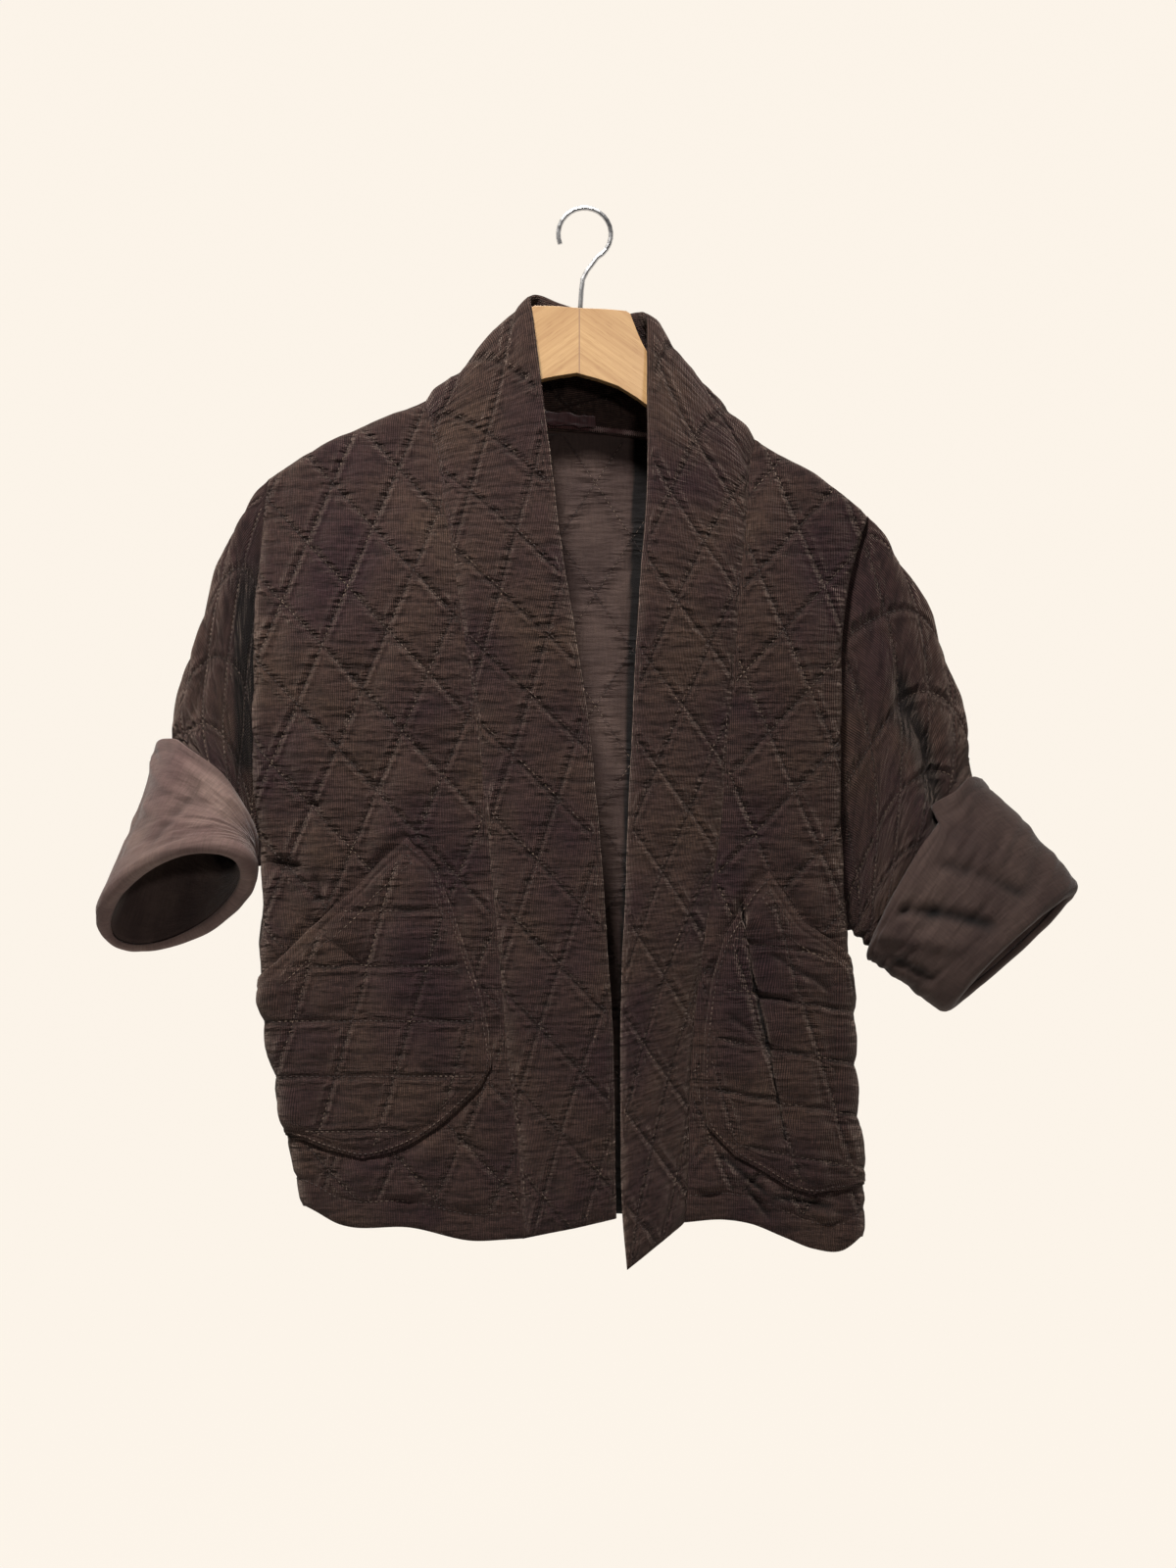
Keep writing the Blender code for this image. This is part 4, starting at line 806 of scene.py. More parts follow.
Corner = namedtuple("Corner", "out down")
POCKET = {
    LEFT: rows_of(Corner, (135, 474), (114, 495), (101, 528), (90, 560), (80, 590),
           (73, 620), (71, 645), (80, 662), (96, 678), (112, 692),
           (129, 703), (148, 711), (168, 715), (192, 709), (218, 700)),
    RIGHT: rows_of(Corner, (138, 499), (121, 517), (105, 546), (95, 580), (89, 620),
            (87, 660), (91, 692), (111, 713), (131, 724), (152, 737),
            (170, 742), (196, 739)),
}
MOUTH = {
    LEFT: rows_of(Corner, (160, 498), (187, 523), (214, 549), (240, 574)),
    RIGHT: rows_of(Corner, (150, 517), (164, 537), (187, 553)),
}
POCKET_SIDE = {LEFT: (694, 596), RIGHT: (732, 590)}
POCKET_INSET = 2.5
WORD = {LEFT: "left", RIGHT: "right"}


def pocket_side(side):
    low, high = POCKET_SIDE[side]
    downs = np.linspace(low, high, 8)
    outs = turn_at(side, downs, False).end - POCKET_INSET
    return [Corner(a, b) for a, b in zip(outs, downs)]


def pocket_outline(side):
    return POCKET[side] + pocket_side(side) + MOUTH[side][::-1]


def hem_down(side, out):
    return read(HEM[side], "out", "down", np.minimum(out, HEM_END))


def back_hem_down(x):
    return read(BACK_HEM, "out", "down", np.clip(x, -HEM_END, HEM_END))


def read_in_order(rows, name, at):
    """A table's column as a smooth curve over the rows' own numbers."""
    return through(np.arange(len(rows)), column(rows, name), at)


def seam_spot(c):
    return read_in_order(BAND, "seam_x", c), read_in_order(BAND, "seam_down", c)


def seam_out(side, down):
    """How far out the band's seam lies on a front, by how far down."""
    c = np.linspace(BAND_RIDGE[side], 0 if side == LEFT else BAND_LAST, 300)
    x, seam_down = seam_spot(c)
    return through_dense(seam_down, np.abs(x), down)


def through_dense(xs, ys, x):
    order = np.argsort(xs)
    return np.interp(x, np.asarray(xs)[order], np.asarray(ys)[order])


def side_end(side, down, rear):
    return turn_at(side, np.maximum(down, ARMHOLE[side][0]), rear).end


def side_fade(side, out, down, rear):
    """The quilting flattens where the cloth turns round at the side."""
    turn = turn_at(side, down, rear)
    return 0.35 + 0.65 * step((turn.start + 4 - out) / 26)


def roll(edge):
    """Cloth thins away at its seams, so that they lie in small valleys."""
    return 0.45 + 0.55 * step(edge / 5)


def over_hem(relief, a, b, rise, seed):
    """A face's relief above the turned hem, and the hem's own soft roll below the line."""
    hem = 0.9 * np.abs(np.sin(math.pi * np.clip(rise / HEM_DEPTH, 0, 1))) ** 0.6
    hem = hem + noise(a, b, 12, 30, seed) * 0.55 * step(rise / 4)
    return np.where(rise < HEM_DEPTH, hem, relief * step((rise - HEM_DEPTH) / 6))


def front_reach(side, out, down, edge):
    """How far a front's outer face stands out from its middle."""
    pocket = polygon_distance(out, down, pocket_outline(side))
    quilt = FRONT_LATTICE.height(out, down)
    fade = step(edge / SEAM_FADE) * step((pocket - 1) / 9) * side_fade(side, out, down, False)
    gathers = puckers(out, down, quilt + 1 - fade, FRONT_SEED + side) * step(pocket / 6) * 0.85
    relief = PUFF * quilt * fade + gathers
    relief = over_hem(relief, out, down, hem_down(side, out) - down, FRONT_HEM_SEED + side)
    return HALF_WALL * roll(edge) + relief + front_crease(side, out, down)


def front_crease(side, out, down):
    """Creases that both faces of a front follow."""
    return folds_at(CREASES[side] + DEEP[side], side * out, down)


# Painted shade in the deepest folds of the fronts and pockets.
def crease_shade(side, out, down):
    return np.clip(-folds_at(DEEP[side], side * out, down) / 4.2, 0, 1) ** 1.3


def cells_of(lattice, a, b):
    return np.moveaxis(lattice.cell(a, b), 0, -1)


def panel_grid(size, starts, edges, upper, lower):
    """Flat places of a panel between two side edges, from its upper edge to its lower one."""
    columns, rows = size
    share = np.linspace(0, 1, columns)
    top, bottom = (np.full(columns, start) for start in starts)

    def across(down):
        first, last = edges(down)
        return first * (1 - share) + last * share

    for _ in range(12):
        top, bottom = upper(across(top)), lower(across(bottom))
    v = np.linspace(0, 1, rows)[:, None] ** 1.15
    down = top * (1 - v) + bottom * v
    return across(down), down


def front_grid(side):
    """Flat places of a front, from the band's seam to the side and from the ridge to the hem."""
    def edges(down):
        return seam_out(side, down), side_end(side, down, False)

    def upper(out):
        return np.minimum(ridge_down(side, out), ARMHOLE[side][0])

    def lower(out):
        return hem_down(side, out)

    return panel_grid(FRONT_GRID, (170.0, 760.0), edges, upper, lower)


def grid_edge(place):
    """How far each point of a grid is from the grid's rim, along the cloth."""
    rows = np.linalg.norm(np.diff(place, axis=0), axis=-1)
    columns = np.linalg.norm(np.diff(place, axis=1), axis=-1)
    down = np.vstack([np.zeros(place.shape[1]), np.cumsum(rows, axis=0)])
    over = np.hstack([np.zeros((place.shape[0], 1)), np.cumsum(columns, axis=1)])
    return np.minimum(np.minimum(down, down[-1] - down), np.minimum(over, over[:, -1:] - over))


def front(side):
    out, down = front_grid(side)
    middle, normal = body_frame(side, out, down, False)
    edge = grid_edge(middle)
    outer = front_reach(side, out, down, edge)
    quilt = FRONT_LATTICE.height(out, down)
    relief = (0.5 * quilt + puckers(out, down, quilt, FRONT_INNER_SEED) * 0.4) * step(edge / SEAM_FADE)
    inner = HALF_WALL * roll(edge) + relief - front_crease(side, out, down)
    uv = np.stack([out, down], -1) * MM
    name = f"front_{WORD[side]}_cloth"
    quilted = step((polygon_distance(out, down, pocket_outline(side)) + 1) / 3)
    quilted = quilted * (hem_down(side, out) - down > HEM_DEPTH) * step(edge / 4)
    return shell(name, middle, normal, outer, inner, uv, (CORDUROY, LINING),
                 [f"front_{WORD[side]}"], quilt=cells_of(FRONT_LATTICE, out, down), fade=quilted,
                 shade=crease_shade(side, out, down))


def lattice_lines(lattice, spans, keep):
    """Starts and ends of stitches along both families of quilting lines."""
    (i0, i1), (j0, j1) = spans
    pieces = []
    for first, (low, high), (start, stop) in ((True, (i0, i1), (j0, j1)), (False, (j0, j1), (i0, i1))):
        step_size = STITCH_PITCH / np.linalg.norm(lattice.basis[:, 1 if first else 0])
        along = np.arange(start, stop, step_size)
        span = step_size * STITCH_LENGTH / STITCH_PITCH
        for line in range(low, high + 1):
            fixed = np.full(len(along), float(line))
            ends = [(fixed, along), (fixed, along + span)]
            a, b = (lattice.point(*(pair if first else pair[::-1])) for pair in ends)
            pieces.append(np.stack([a.T, b.T], 1))
    all_stitches = np.vstack(pieces)
    middle = all_stitches.mean(1)
    return all_stitches[keep(middle[:, 0], middle[:, 1])]


def run_stitches(points, pitch=STITCH_PITCH, length=STITCH_LENGTH):
    """Starts and ends of stitches along a flat line."""
    points = np.asarray(points, float)
    lengths = running(np.linalg.norm(np.diff(points, axis=0), axis=1))
    starts = np.arange(0.5, lengths[-1] - length, pitch)

    def at(s):
        return np.stack([np.interp(s, lengths, points[:, k]) for k in range(points.shape[1])], 1)

    return np.stack([at(starts), at(starts + length)], 1)


def sew(name, flat, place):
    """Stitches on a face: place gives points and outward directions for flat places."""
    starts, normals = place(flat[:, 0, 0], flat[:, 0, 1])
    ends, _ = place(flat[:, 1, 0], flat[:, 1, 1])
    return stitches(name, starts, ends, normals)


def front_stitches(side):
    outline = pocket_outline(side)

    def keep(out, down):
        margin = np.minimum(out - seam_out(side, down), side_end(side, down, False) - out)
        margin = np.minimum(margin, down - ridge_down(side, out))
        margin = np.minimum(margin, hem_down(side, out) - HEM_DEPTH - down)
        return (margin > 3) & (polygon_distance(out, down, outline) > 2)

    def place(out, down):
        here, normal = body_frame(side, out, down, False)
        return here + normal * front_reach(side, out, down, 20 + 0 * out)[..., None], normal

    flat = lattice_lines(FRONT_LATTICE, ((-8, 22), (-14, 22)), keep)
    outs = np.linspace(seam_out(side, 770.0) + 3, side_end(side, 750.0, False) - 2, 60)
    hem = run_stitches(np.stack([outs, hem_down(side, outs) - HEM_DEPTH], 1))
    return sew(f"front_{WORD[side]}_stitches", np.vstack([flat, hem]), place)


# The back.
def back_top(x):
    """The upper edge of the back: ridge, neck seam and ridge."""
    c = np.linspace(BAND_RIDGE[LEFT], BAND_RIDGE[RIGHT], 200)
    seam_x, seam_down_at = seam_spot(c)
    neck = through_dense(seam_x, seam_down_at, x)
    left = ridge_down(LEFT, np.maximum(-x, 0))
    right = ridge_down(RIGHT, np.maximum(x, 0))
    return np.where(x < -NECK_OUT[LEFT], left, np.where(x > NECK_OUT[RIGHT], right, neck))


def back_frame(x, down):
    left, left_normal = body_frame(LEFT, -x, down, True)
    right, right_normal = body_frame(RIGHT, x, down, True)
    here = (x < 0)[..., None]
    return np.where(here, left, right), np.where(here, left_normal, right_normal)


def back_fade(x, down):
    return np.where(x < 0, side_fade(LEFT, -x, down, True), side_fade(RIGHT, x, down, True))


def back_reach(x, down, edge):
    quilt = BACK_LATTICE.height(x, down)
    fade = step(edge / SEAM_FADE) * back_fade(x, down)
    gathers = puckers(x, down, quilt + 1 - fade, BACK_SEED) * 0.85
    relief = PUFF * quilt * fade + gathers
    relief = over_hem(relief, x, down, back_hem_down(x) - down, BACK_HEM_SEED)
    return HALF_WALL * roll(edge) + relief + folds_at(BACK_CREASES, x, down)


# A strip of painted shadow on the back's lining, where the right band's edge would cast it: down and x.
BAND_SHADOW_LINE = ((160, 43.1), (759, 27.2))
BAND_SHADOW_WIDTH = 8
BAND_SHADOW_HIDDEN = 14


def band_edge_painted_shadow(x, down):
    """How much painted shadow a place on the lining gets beside the right band's edge."""
    (top, top_x), (bottom, bottom_x) = BAND_SHADOW_LINE
    edge = top_x + (bottom_x - top_x) * (down - top) / (bottom - top)
    return (step((x - edge + BAND_SHADOW_WIDTH) / 2.5) * step((edge + BAND_SHADOW_HIDDEN - x) / 4)
            * step((down - top) / 6))


def back_inner_wrinkles(x, down):
    return puckers(x, down, BACK_LATTICE.height(x, down), BACK_INNER_SEED) * 0.7


def back():
    def edges(down):
        return -side_end(LEFT, down, True), side_end(RIGHT, down, True)

    def upper(x):
        return np.minimum(back_top(x), np.where(x < 0, ARMHOLE[LEFT][0], ARMHOLE[RIGHT][0]))

    x, down = panel_grid(BACK_GRID, (190.0, 760.0), edges, upper, back_hem_down)
    middle, normal = back_frame(x, down)
    edge = grid_edge(middle)
    outer = back_reach(x, down, edge)
    relief = 1.6 * BACK_LATTICE.height(x, down) + back_inner_wrinkles(x, down)
    inner = HALF_WALL * roll(edge) + relief * step(edge / SEAM_FADE) - folds_at(BACK_CREASES, x, down)
    uv = np.stack([x, down], -1) * MM
    quilted = (back_hem_down(x) - down > HEM_DEPTH) * step(edge / 4)
    # The inner face gets painted shadow in a strip beside the right band's edge.
    return shell("back_cloth", middle, normal, outer, inner, uv, (CORDUROY, LINING_PAINTED_SHADE),
                 ["back"], quilt=cells_of(BACK_LATTICE, x, down), fade=quilted,
                 inner_shade=band_edge_painted_shadow(x, down))


def back_stitches():
    def keep(x, down):
        side_room = np.minimum(x + side_end(LEFT, down, True), side_end(RIGHT, down, True) - x)
        room = np.minimum(side_room, np.minimum(down - back_top(x), back_hem_down(x) - HEM_DEPTH - down))
        return room > 4

    def outside(x, down):
        here, normal = back_frame(x, down)
        return here + normal * back_reach(x, down, 20 + 0 * x)[..., None], normal

    def inside(x, down):
        here, normal = back_frame(x, down)
        reach = HALF_WALL + back_inner_wrinkles(x, down) - folds_at(BACK_CREASES, x, down)
        return here - normal * reach[..., None], -normal

    flat = lattice_lines(BACK_LATTICE, ((-16, 16), (-16, 16)), keep)
    xs = np.linspace(-208, 206, 90)
    hem = run_stitches(np.stack([xs, back_hem_down(xs) - HEM_DEPTH], 1))
    pieces = [sew("back_stitches", np.vstack([flat, hem]), outside)]
    shown = np.abs(flat[:, 0, 0]) < 150
    pieces.append(sew("back_inner_stitches", flat[shown], inside))
    return pieces


# Pockets.
def pocket_frame(side, out, down, lift):
    here, normal = body_frame(side, out, down, False)
    return here + normal * lift[..., None], normal


def pocket_edges(side):
    """The pocket's inner and outer edges, each as out by down, and its lower line."""
    mouth_tip = POCKET[side][0]
    lower = max(POCKET[side], key=lambda corner: corner.down)
    k = POCKET[side].index(lower)
    inner = POCKET[side][: k + 1]
    outer = [mouth_tip] + MOUTH[side] + pocket_side(side)[::-1] + POCKET[side][k:][::-1]
    return inner, outer


def pocket_lift(side, out, down):
    """How far a pocket lies off the front: more along its mouth, which gapes."""
    mouth = [POCKET[side][0]] + MOUTH[side]
    p = np.stack([out, down], -1)[..., None, :]
    to_mouth = np.sqrt(((p - np.array(mouth, float)) ** 2).sum(-1))
    rise = (1 - step(to_mouth.min(-1) / 45)) * step(to_mouth[..., 0] / 30)
    return POCKET_LIFT + MOUTH_LIFT * rise


def pocket_reach(side, out, down):
    outline = pocket_outline(side)
    seam = -polygon_distance(out, down, outline)
    quilt = POCKET_LATTICE[side].height(out, down)
    wrinkle = puckers(out, down, quilt, POCKET_SEED + side) * 0.8
    edge_line = np.exp(-(((seam - 5.5) / 1.3) ** 2)) * 0.9
    body = (PUFF * 0.8 * quilt + wrinkle) * step(seam / SEAM_FADE) + front_crease(side, out, down)
    return POCKET_HALF * roll(seam) + body + 0.5 * step(seam / 3) - edge_line


def pocket(side):
    inner_edge, outer_edge = pocket_edges(side)
    columns, rows = POCKET_GRID
    v = np.linspace(0, 1, rows)
    low, high = inner_edge[0].down, inner_edge[-1].down
    down = low + (high - low) * v
    inner_out = np.interp(down, column(inner_edge, "down"), column(inner_edge, "out"))
    outer_out = np.interp(down, column(outer_edge, "down"), column(outer_edge, "out"))
    share = np.linspace(0, 1, columns)
    out = inner_out[:, None] * (1 - share) + outer_out[:, None] * share
    down = np.repeat(down[:, None], columns, axis=1)
    middle, normal = pocket_frame(side, out, down, pocket_lift(side, out, down))
    outer = pocket_reach(side, out, down)
    inner = POCKET_HALF * roll(grid_edge(middle)) * 0.9 - front_crease(side, out, down)
    uv = np.stack([out, down], -1) * MM
    seam = -polygon_distance(out, down, pocket_outline(side))
    return shell(f"pocket_{WORD[side]}_cloth", middle, normal, outer, inner, uv, (CORDUROY, LINING),
                 [f"pocket_{WORD[side]}"], quilt=cells_of(POCKET_LATTICE[side], out, down),
                 fade=step((seam - 7) / 3), shade=crease_shade(side, out, down))


EDGE_STITCHES = 3.5
MOUTH_STITCHES = 16


def inset_line(points, amount):
    """An open flat line moved sideways, to its right along its way."""
    points = np.asarray(points, float)
    way = np.gradient(points, axis=0)
    way /= np.linalg.norm(way, axis=1, keepdims=True)
    return points + np.stack([-way[:, 1], way[:, 0]], 1) * amount


def pocket_stitches(side):
    outline = pocket_outline(side)

    def keep(out, down):
        return polygon_distance(out, down, outline) < -7

    def place(out, down):
        here, normal = pocket_frame(side, out, down, pocket_lift(side, out, down))
        return here + normal * pocket_reach(side, out, down)[..., None], normal

    flat = lattice_lines(POCKET_LATTICE[side], ((-8, 9), (-8, 9)), keep)
    around = inset_line(smooth_line(POCKET[side], 160), -EDGE_STITCHES)
    mouth = inset_line(smooth_line([POCKET[side][0]] + MOUTH[side], 80), MOUTH_STITCHES)
    edges = []
    for line, inside in ((around, EDGE_STITCHES - 1.2), (mouth, MOUTH_STITCHES / 2)):
        held = polygon_distance(line[:, 0], line[:, 1], outline) < -inside
        edges.append(run_stitches(line[held]))
    return sew(f"pocket_{WORD[side]}_stitches", np.vstack([flat] + edges), place)


def smooth_line(corners, count):
    places = np.arange(len(corners))
    t = np.linspace(0, len(corners) - 1, count)
    return np.stack([through(places, [c[k] for c in corners], t) for k in (0, 1)], 1)


# The neck band.
def on_seam(c):
    """Places on the band's seam, with the body's outward direction there."""
    x, down = seam_spot(c)
    rear = (c > BAND_RIDGE[LEFT]) & (c < BAND_RIDGE[RIGHT])
    points, normals = np.zeros((len(c), 3)), np.zeros((len(c), 3))
    for side in (LEFT, RIGHT):
        for behind in (False, True):
            here = ((x < 0) == (side == LEFT)) & (rear == behind)
            if here.any():
                found = body_frame(side, side * x[here], down[here], behind)
                points[here], normals[here] = found
    return points, normals


def band_seam(c):
    """Points of the seam, the directions of the walls' thickness there and into the band."""
    points, normals = on_seam(c)
    for ridge in BAND_RIDGE.values():
        share = step(np.abs(c - ridge))[:, None]
        up = unit(np.array([0.45 * (1 if ridge > BAND_RIDGE[LEFT] else -1), 0, 1]))
        normals = unit(normals * share + up * (1 - share))
    along = on_seam(np.minimum(c + 0.1, BAND_LAST))[0] - on_seam(np.maximum(c - 0.1, 0))[0]
    return points, normals, -unit(np.cross(normals, along))


def band_middle(c, share):
    """The band's middle surface, places along it by shares from its seam to its folded edge."""
    edge = placed(*(read_in_order(BAND, name, c) for name in ("edge_x", "edge_y", "edge_down")))
    bulge = read_in_order(BAND, "bulge", c)[:, None, None]
    seam, normal, pull = band_seam(c)
    start = seam + pull * SEAM_GAP
    s = share[None, :, None]
    middle = start[:, None] + (edge - start)[:, None] * s
    return middle + normal[:, None] * bulge * 4 * s * (1 - s)


BAND_HALVES = [HALF_WALL, 1.9, BAND_HALF, BAND_HALF, BAND_HALF, BAND_HALF, BAND_HALF, 2.1, 2.0]


def band_lengths(middle):
    """How far along and across the band each point of its grid lies, in millimetres."""
    centre = middle[:, middle.shape[1] // 2]
    along = running(np.linalg.norm(np.diff(centre, axis=0), axis=1))
    return along, running(np.linalg.norm(np.diff(middle, axis=1), axis=-1).mean(0))


def band_surface(c, share):
    middle = band_middle(c, share)
    normal = facing(grid_normals(middle), band_seam(c)[1][:, None])
    along, across = band_lengths(middle)
    a, b = np.meshgrid(across, along)
    edge = np.minimum(a, across[-1] - a)
    ends = np.minimum(b, along[-1] - b)
    fold = np.sqrt(np.clip(1 - (1 - np.clip((across[-1] - a) / 3.4, 0, 1)) ** 2, 0.02, 1))
    half = np.interp(share, BAND_SHARES, BAND_HALVES)[None, :] * fold * roll(np.minimum(ends, a + 2))
    fade = step(a / 12) * step((across[-1] - a) / 9) * step(ends / 14)
    quilt = BAND_LATTICE.height(a, b)
    wrinkle = puckers(b, a, quilt + 1 - fade, BAND_SEED) * (0.25 + 0.75 * step(edge / 6))
    ripple = noise(a, b, 60, 34, BAND_RIPPLE_SEED) * 0.8 * step(edge / 8)
    outer = half + (BAND_PUFF * quilt * fade + wrinkle * 0.8) * step((edge + 1) / 5) + ripple
    relief = BAND_PUFF * 0.7 * quilt * fade + puckers(b, a, quilt, BAND_INNER_SEED) * 0.7
    inner = half + relief * step((edge + 1) / 5) - ripple
    return middle, normal, outer, inner, np.stack([a, b], -1) * MM


TUCK_HALF = 0.3


def neck_band():
    """The doubled band, with a thin edge tucked into the seam."""
    columns, rows = BAND_GRID
    c = np.linspace(0, BAND_LAST, rows)
    share = np.concatenate([[-0.03, -0.015], np.linspace(0, 1, columns) ** 0.92])
    middle, normal, outer, inner, uv = band_surface(c, share)
    tucked = share < 0
    outer[:, tucked] = inner[:, tucked] = TUCK_HALF
    across, along = uv[..., 0] / MM, uv[..., 1] / MM
    quilted = step(across / 5) * step((across[:, -1:] - across) / 5)
    return shell("neck_band_cloth", middle, normal, outer, inner, uv, (CORDUROY,),
                 ["neck_band"], quilt=cells_of(BAND_LATTICE, across, along), fade=quilted)


def band_stitches():
    """Stitches along the band's diamonds, found on a close grid of its surface."""
    columns, rows = BAND_SEWING_GRID
    c = np.linspace(0, BAND_LAST, rows)
    share = np.linspace(0, 1, columns)
    middle, normal, outer, inner, uv = band_surface(c, share)
    across, along = uv[0, :, 0] / MM, uv[:, 0, 1] / MM

    def keep(a, b):
        room = np.minimum(np.minimum(a - 3, across[-1] - 4 - a), np.minimum(b, along[-1] - b) - 4)
        return room > 0

    flat = lattice_lines(BAND_LATTICE, ((-32, 32), (-34, 34)), keep)
    ditch = np.stack([np.full(rows, 1.6), np.linspace(4, along[-1] - 4, rows)], 1)
    sewn = np.vstack([flat, run_stitches(ditch)])
    bars = []
    for way, reach in ((1, outer), (-1, inner)):
        face = middle + normal * (way * reach)[..., None]
        ends = []
        for k in (0, 1):
            row = np.interp(sewn[:, k, 1], along, np.arange(len(along)))
            cell = np.interp(sewn[:, k, 0], across, np.arange(len(across)))
            ends.append((grid_at(face, row, cell), unit(grid_at(normal, row, cell)) * way))
        bars.append((ends[0][0], ends[1][0], ends[0][1]))
    starts, ends, normals = (np.vstack(part) for part in zip(*bars))
    return stitches("band_stitches", starts, ends, normals)


def grid_at(grid, rows, columns):
    """Values of a grid between its points."""
    i = np.clip(np.floor(rows).astype(int), 0, grid.shape[0] - 2)
    j = np.clip(np.floor(columns).astype(int), 0, grid.shape[1] - 2)
    u, v = (rows - i)[:, None], (columns - j)[:, None]
    low = grid[i, j] * (1 - v) + grid[i, j + 1] * v
    high = grid[i + 1, j] * (1 - v) + grid[i + 1, j + 1] * v
    return low * (1 - u) + high * u


def along_path(path, normals):
    """Stitches along a line in space, with the face's outward direction at each."""
    found = run_stitches(np.hstack([path, normals]))
    return found[:, :, :3], unit(found[:, 0, 3:])


# Sleeves and cuffs.
def armhole_down(side, angle):
    top, bottom = ARMHOLE[side]
    return (top + bottom) / 2 - (bottom - top) / 2 * np.cos(angle)


def ring_at(side, v, angle):
    """Points of a sleeve's rings: nought degrees on top, ninety in front."""
    top, under, reach = (
        np.stack([read_in_order(SLEEVE[side], f"{place}_{way}", v) for way in ("x", "y", "down")], -1)
        for place in ("top", "under", "reach")
    )
    depth = np.where(np.sin(angle) > 0, np.sin(angle), REAR_SHARE * np.sin(angle))[..., None]
    spot = (top + under) / 2 + (top - under) / 2 * np.cos(angle)[..., None] + reach * depth
    return placed(spot[..., 0], spot[..., 1], spot[..., 2])


def notch_share(side, v, angle):
    """How far a place lies in the sleeve's long fold: one in its depth, nought outside it."""
    notch = NOTCH[side]
    across = (angle - notch.angle) / notch.width
    along = step((v - notch.first) / 1.2) * step((notch.last - v) / 1.2)
    return along * np.exp(-across * across)


def on_sleeve(side, v, angle):
    """The sleeve's middle surface, starting on the armhole seam."""
    spot = ring_at(side, v, angle)
    down = armhole_down(side, angle)
    way = np.where(np.sin(angle) > 0, -1, 1)
    seam = placed(side * side_out(side, down), way * lens(side, down), down)
    blend = np.clip(1 - v / BLEND_RINGS, 0, 1)[..., None] ** 2
    spot = spot + (seam - ring_at(side, 0 * v, angle)) * blend
    return spot + np.array([0, NOTCH[side].depth, 0]) * notch_share(side, v, angle)[..., None]


# Creases of the sleeves: from ring and angle to ring and angle, with a height and a width in rings.
Crease = namedtuple("Crease", "v0 angle0 v1 angle1 height width")
SLEEVE_CREASES = {
    LEFT: rows_of(Crease, (0.4, 1.0, 3.2, 1.3, -2.0, 0.28), (1.0, 1.7, 4.6, 1.9, 1.8, 0.35),
           (1.2, 2.4, 5.0, 2.3, -2.0, 0.3), (2.5, 0.5, 5.2, 0.7, 1.5, 0.3),
           (0.8, 4.2, 4.4, 4.5, -1.8, 0.32), (1.8, 5.2, 5.2, 5.0, 1.6, 0.34),
           (3.2, 3.6, 5.4, 3.9, -1.6, 0.3)),
    RIGHT: rows_of(Crease, (0.6, 0.9, 4.4, 1.2, -2.4, 0.25), (0.4, 1.9, 3.6, 2.2, -1.8, 0.3),
            (1.8, 1.55, 5.4, 1.7, 2.0, 0.34), (2.6, 2.5, 5.2, 2.6, -1.8, 0.28),
            (0.8, 4.4, 4.8, 4.2, -2.0, 0.33), (1.6, 5.3, 5.4, 5.1, 1.8, 0.36),
            (2.8, 3.7, 5.2, 3.8, 1.4, 0.3)),
}
CUFF_CREASES = {
    LEFT: rows_of(Crease, (6.8, 1.4, 5.0, 1.7, -1.8, 0.2), (6.6, 2.2, 4.8, 2.0, 1.6, 0.24),
           (6.9, 0.7, 5.4, 0.5, -1.2, 0.22), (6.8, 4.2, 5.0, 4.5, -1.6, 0.25),
           (6.6, 5.2, 4.9, 5.1, 1.4, 0.25)),
    RIGHT: rows_of(Crease, (6.9, 1.5, 4.9, 2.2, -4.0, 0.16), (6.7, 1.95, 4.8, 2.6, 2.8, 0.2),
            (6.8, 1.0, 5.2, 1.5, -2.8, 0.16), (6.6, 2.6, 5.4, 2.8, -3.0, 0.2),
            (6.8, 4.1, 5.0, 4.4, -1.8, 0.25), (6.6, 5.0, 4.9, 5.3, 1.6, 0.25)),
}
ANGLE_SIZE = 1.6


def creases_at(creases, v, angle):
    """Heights of the creases, with an angle counted as this many rings."""
    total = 0 * v * angle
    for f in creases:
        dv, da = f.v1 - f.v0, (f.angle1 - f.angle0) * ANGLE_SIZE
        length = math.hypot(dv, da)
        uv, ua = dv / length, da / length
        pv, pa = v - f.v0, (angle - f.angle0) * ANGLE_SIZE
        total = total + crease_height(f, pv * uv + pa * ua, pv * ua - pa * uv, length)
    return total


def around_noise(angle, along, seed):
    """Small wrinkles round a tube that meet themselves where it closes."""
    a = 40 + 24 * np.cos(angle)
    b = along + 24 * np.sin(angle)
    return noise(a, b, 7, 5, seed) * 0.6 + noise(a, b, 17, 13, seed + 1) * 0.9


SLEEVE_LINES = 4


def sleeve_puff(v, angle):
    a, b = sleeve_cells(v, angle)
    return pillow(np.sin(math.pi * a), np.sin(math.pi * b))


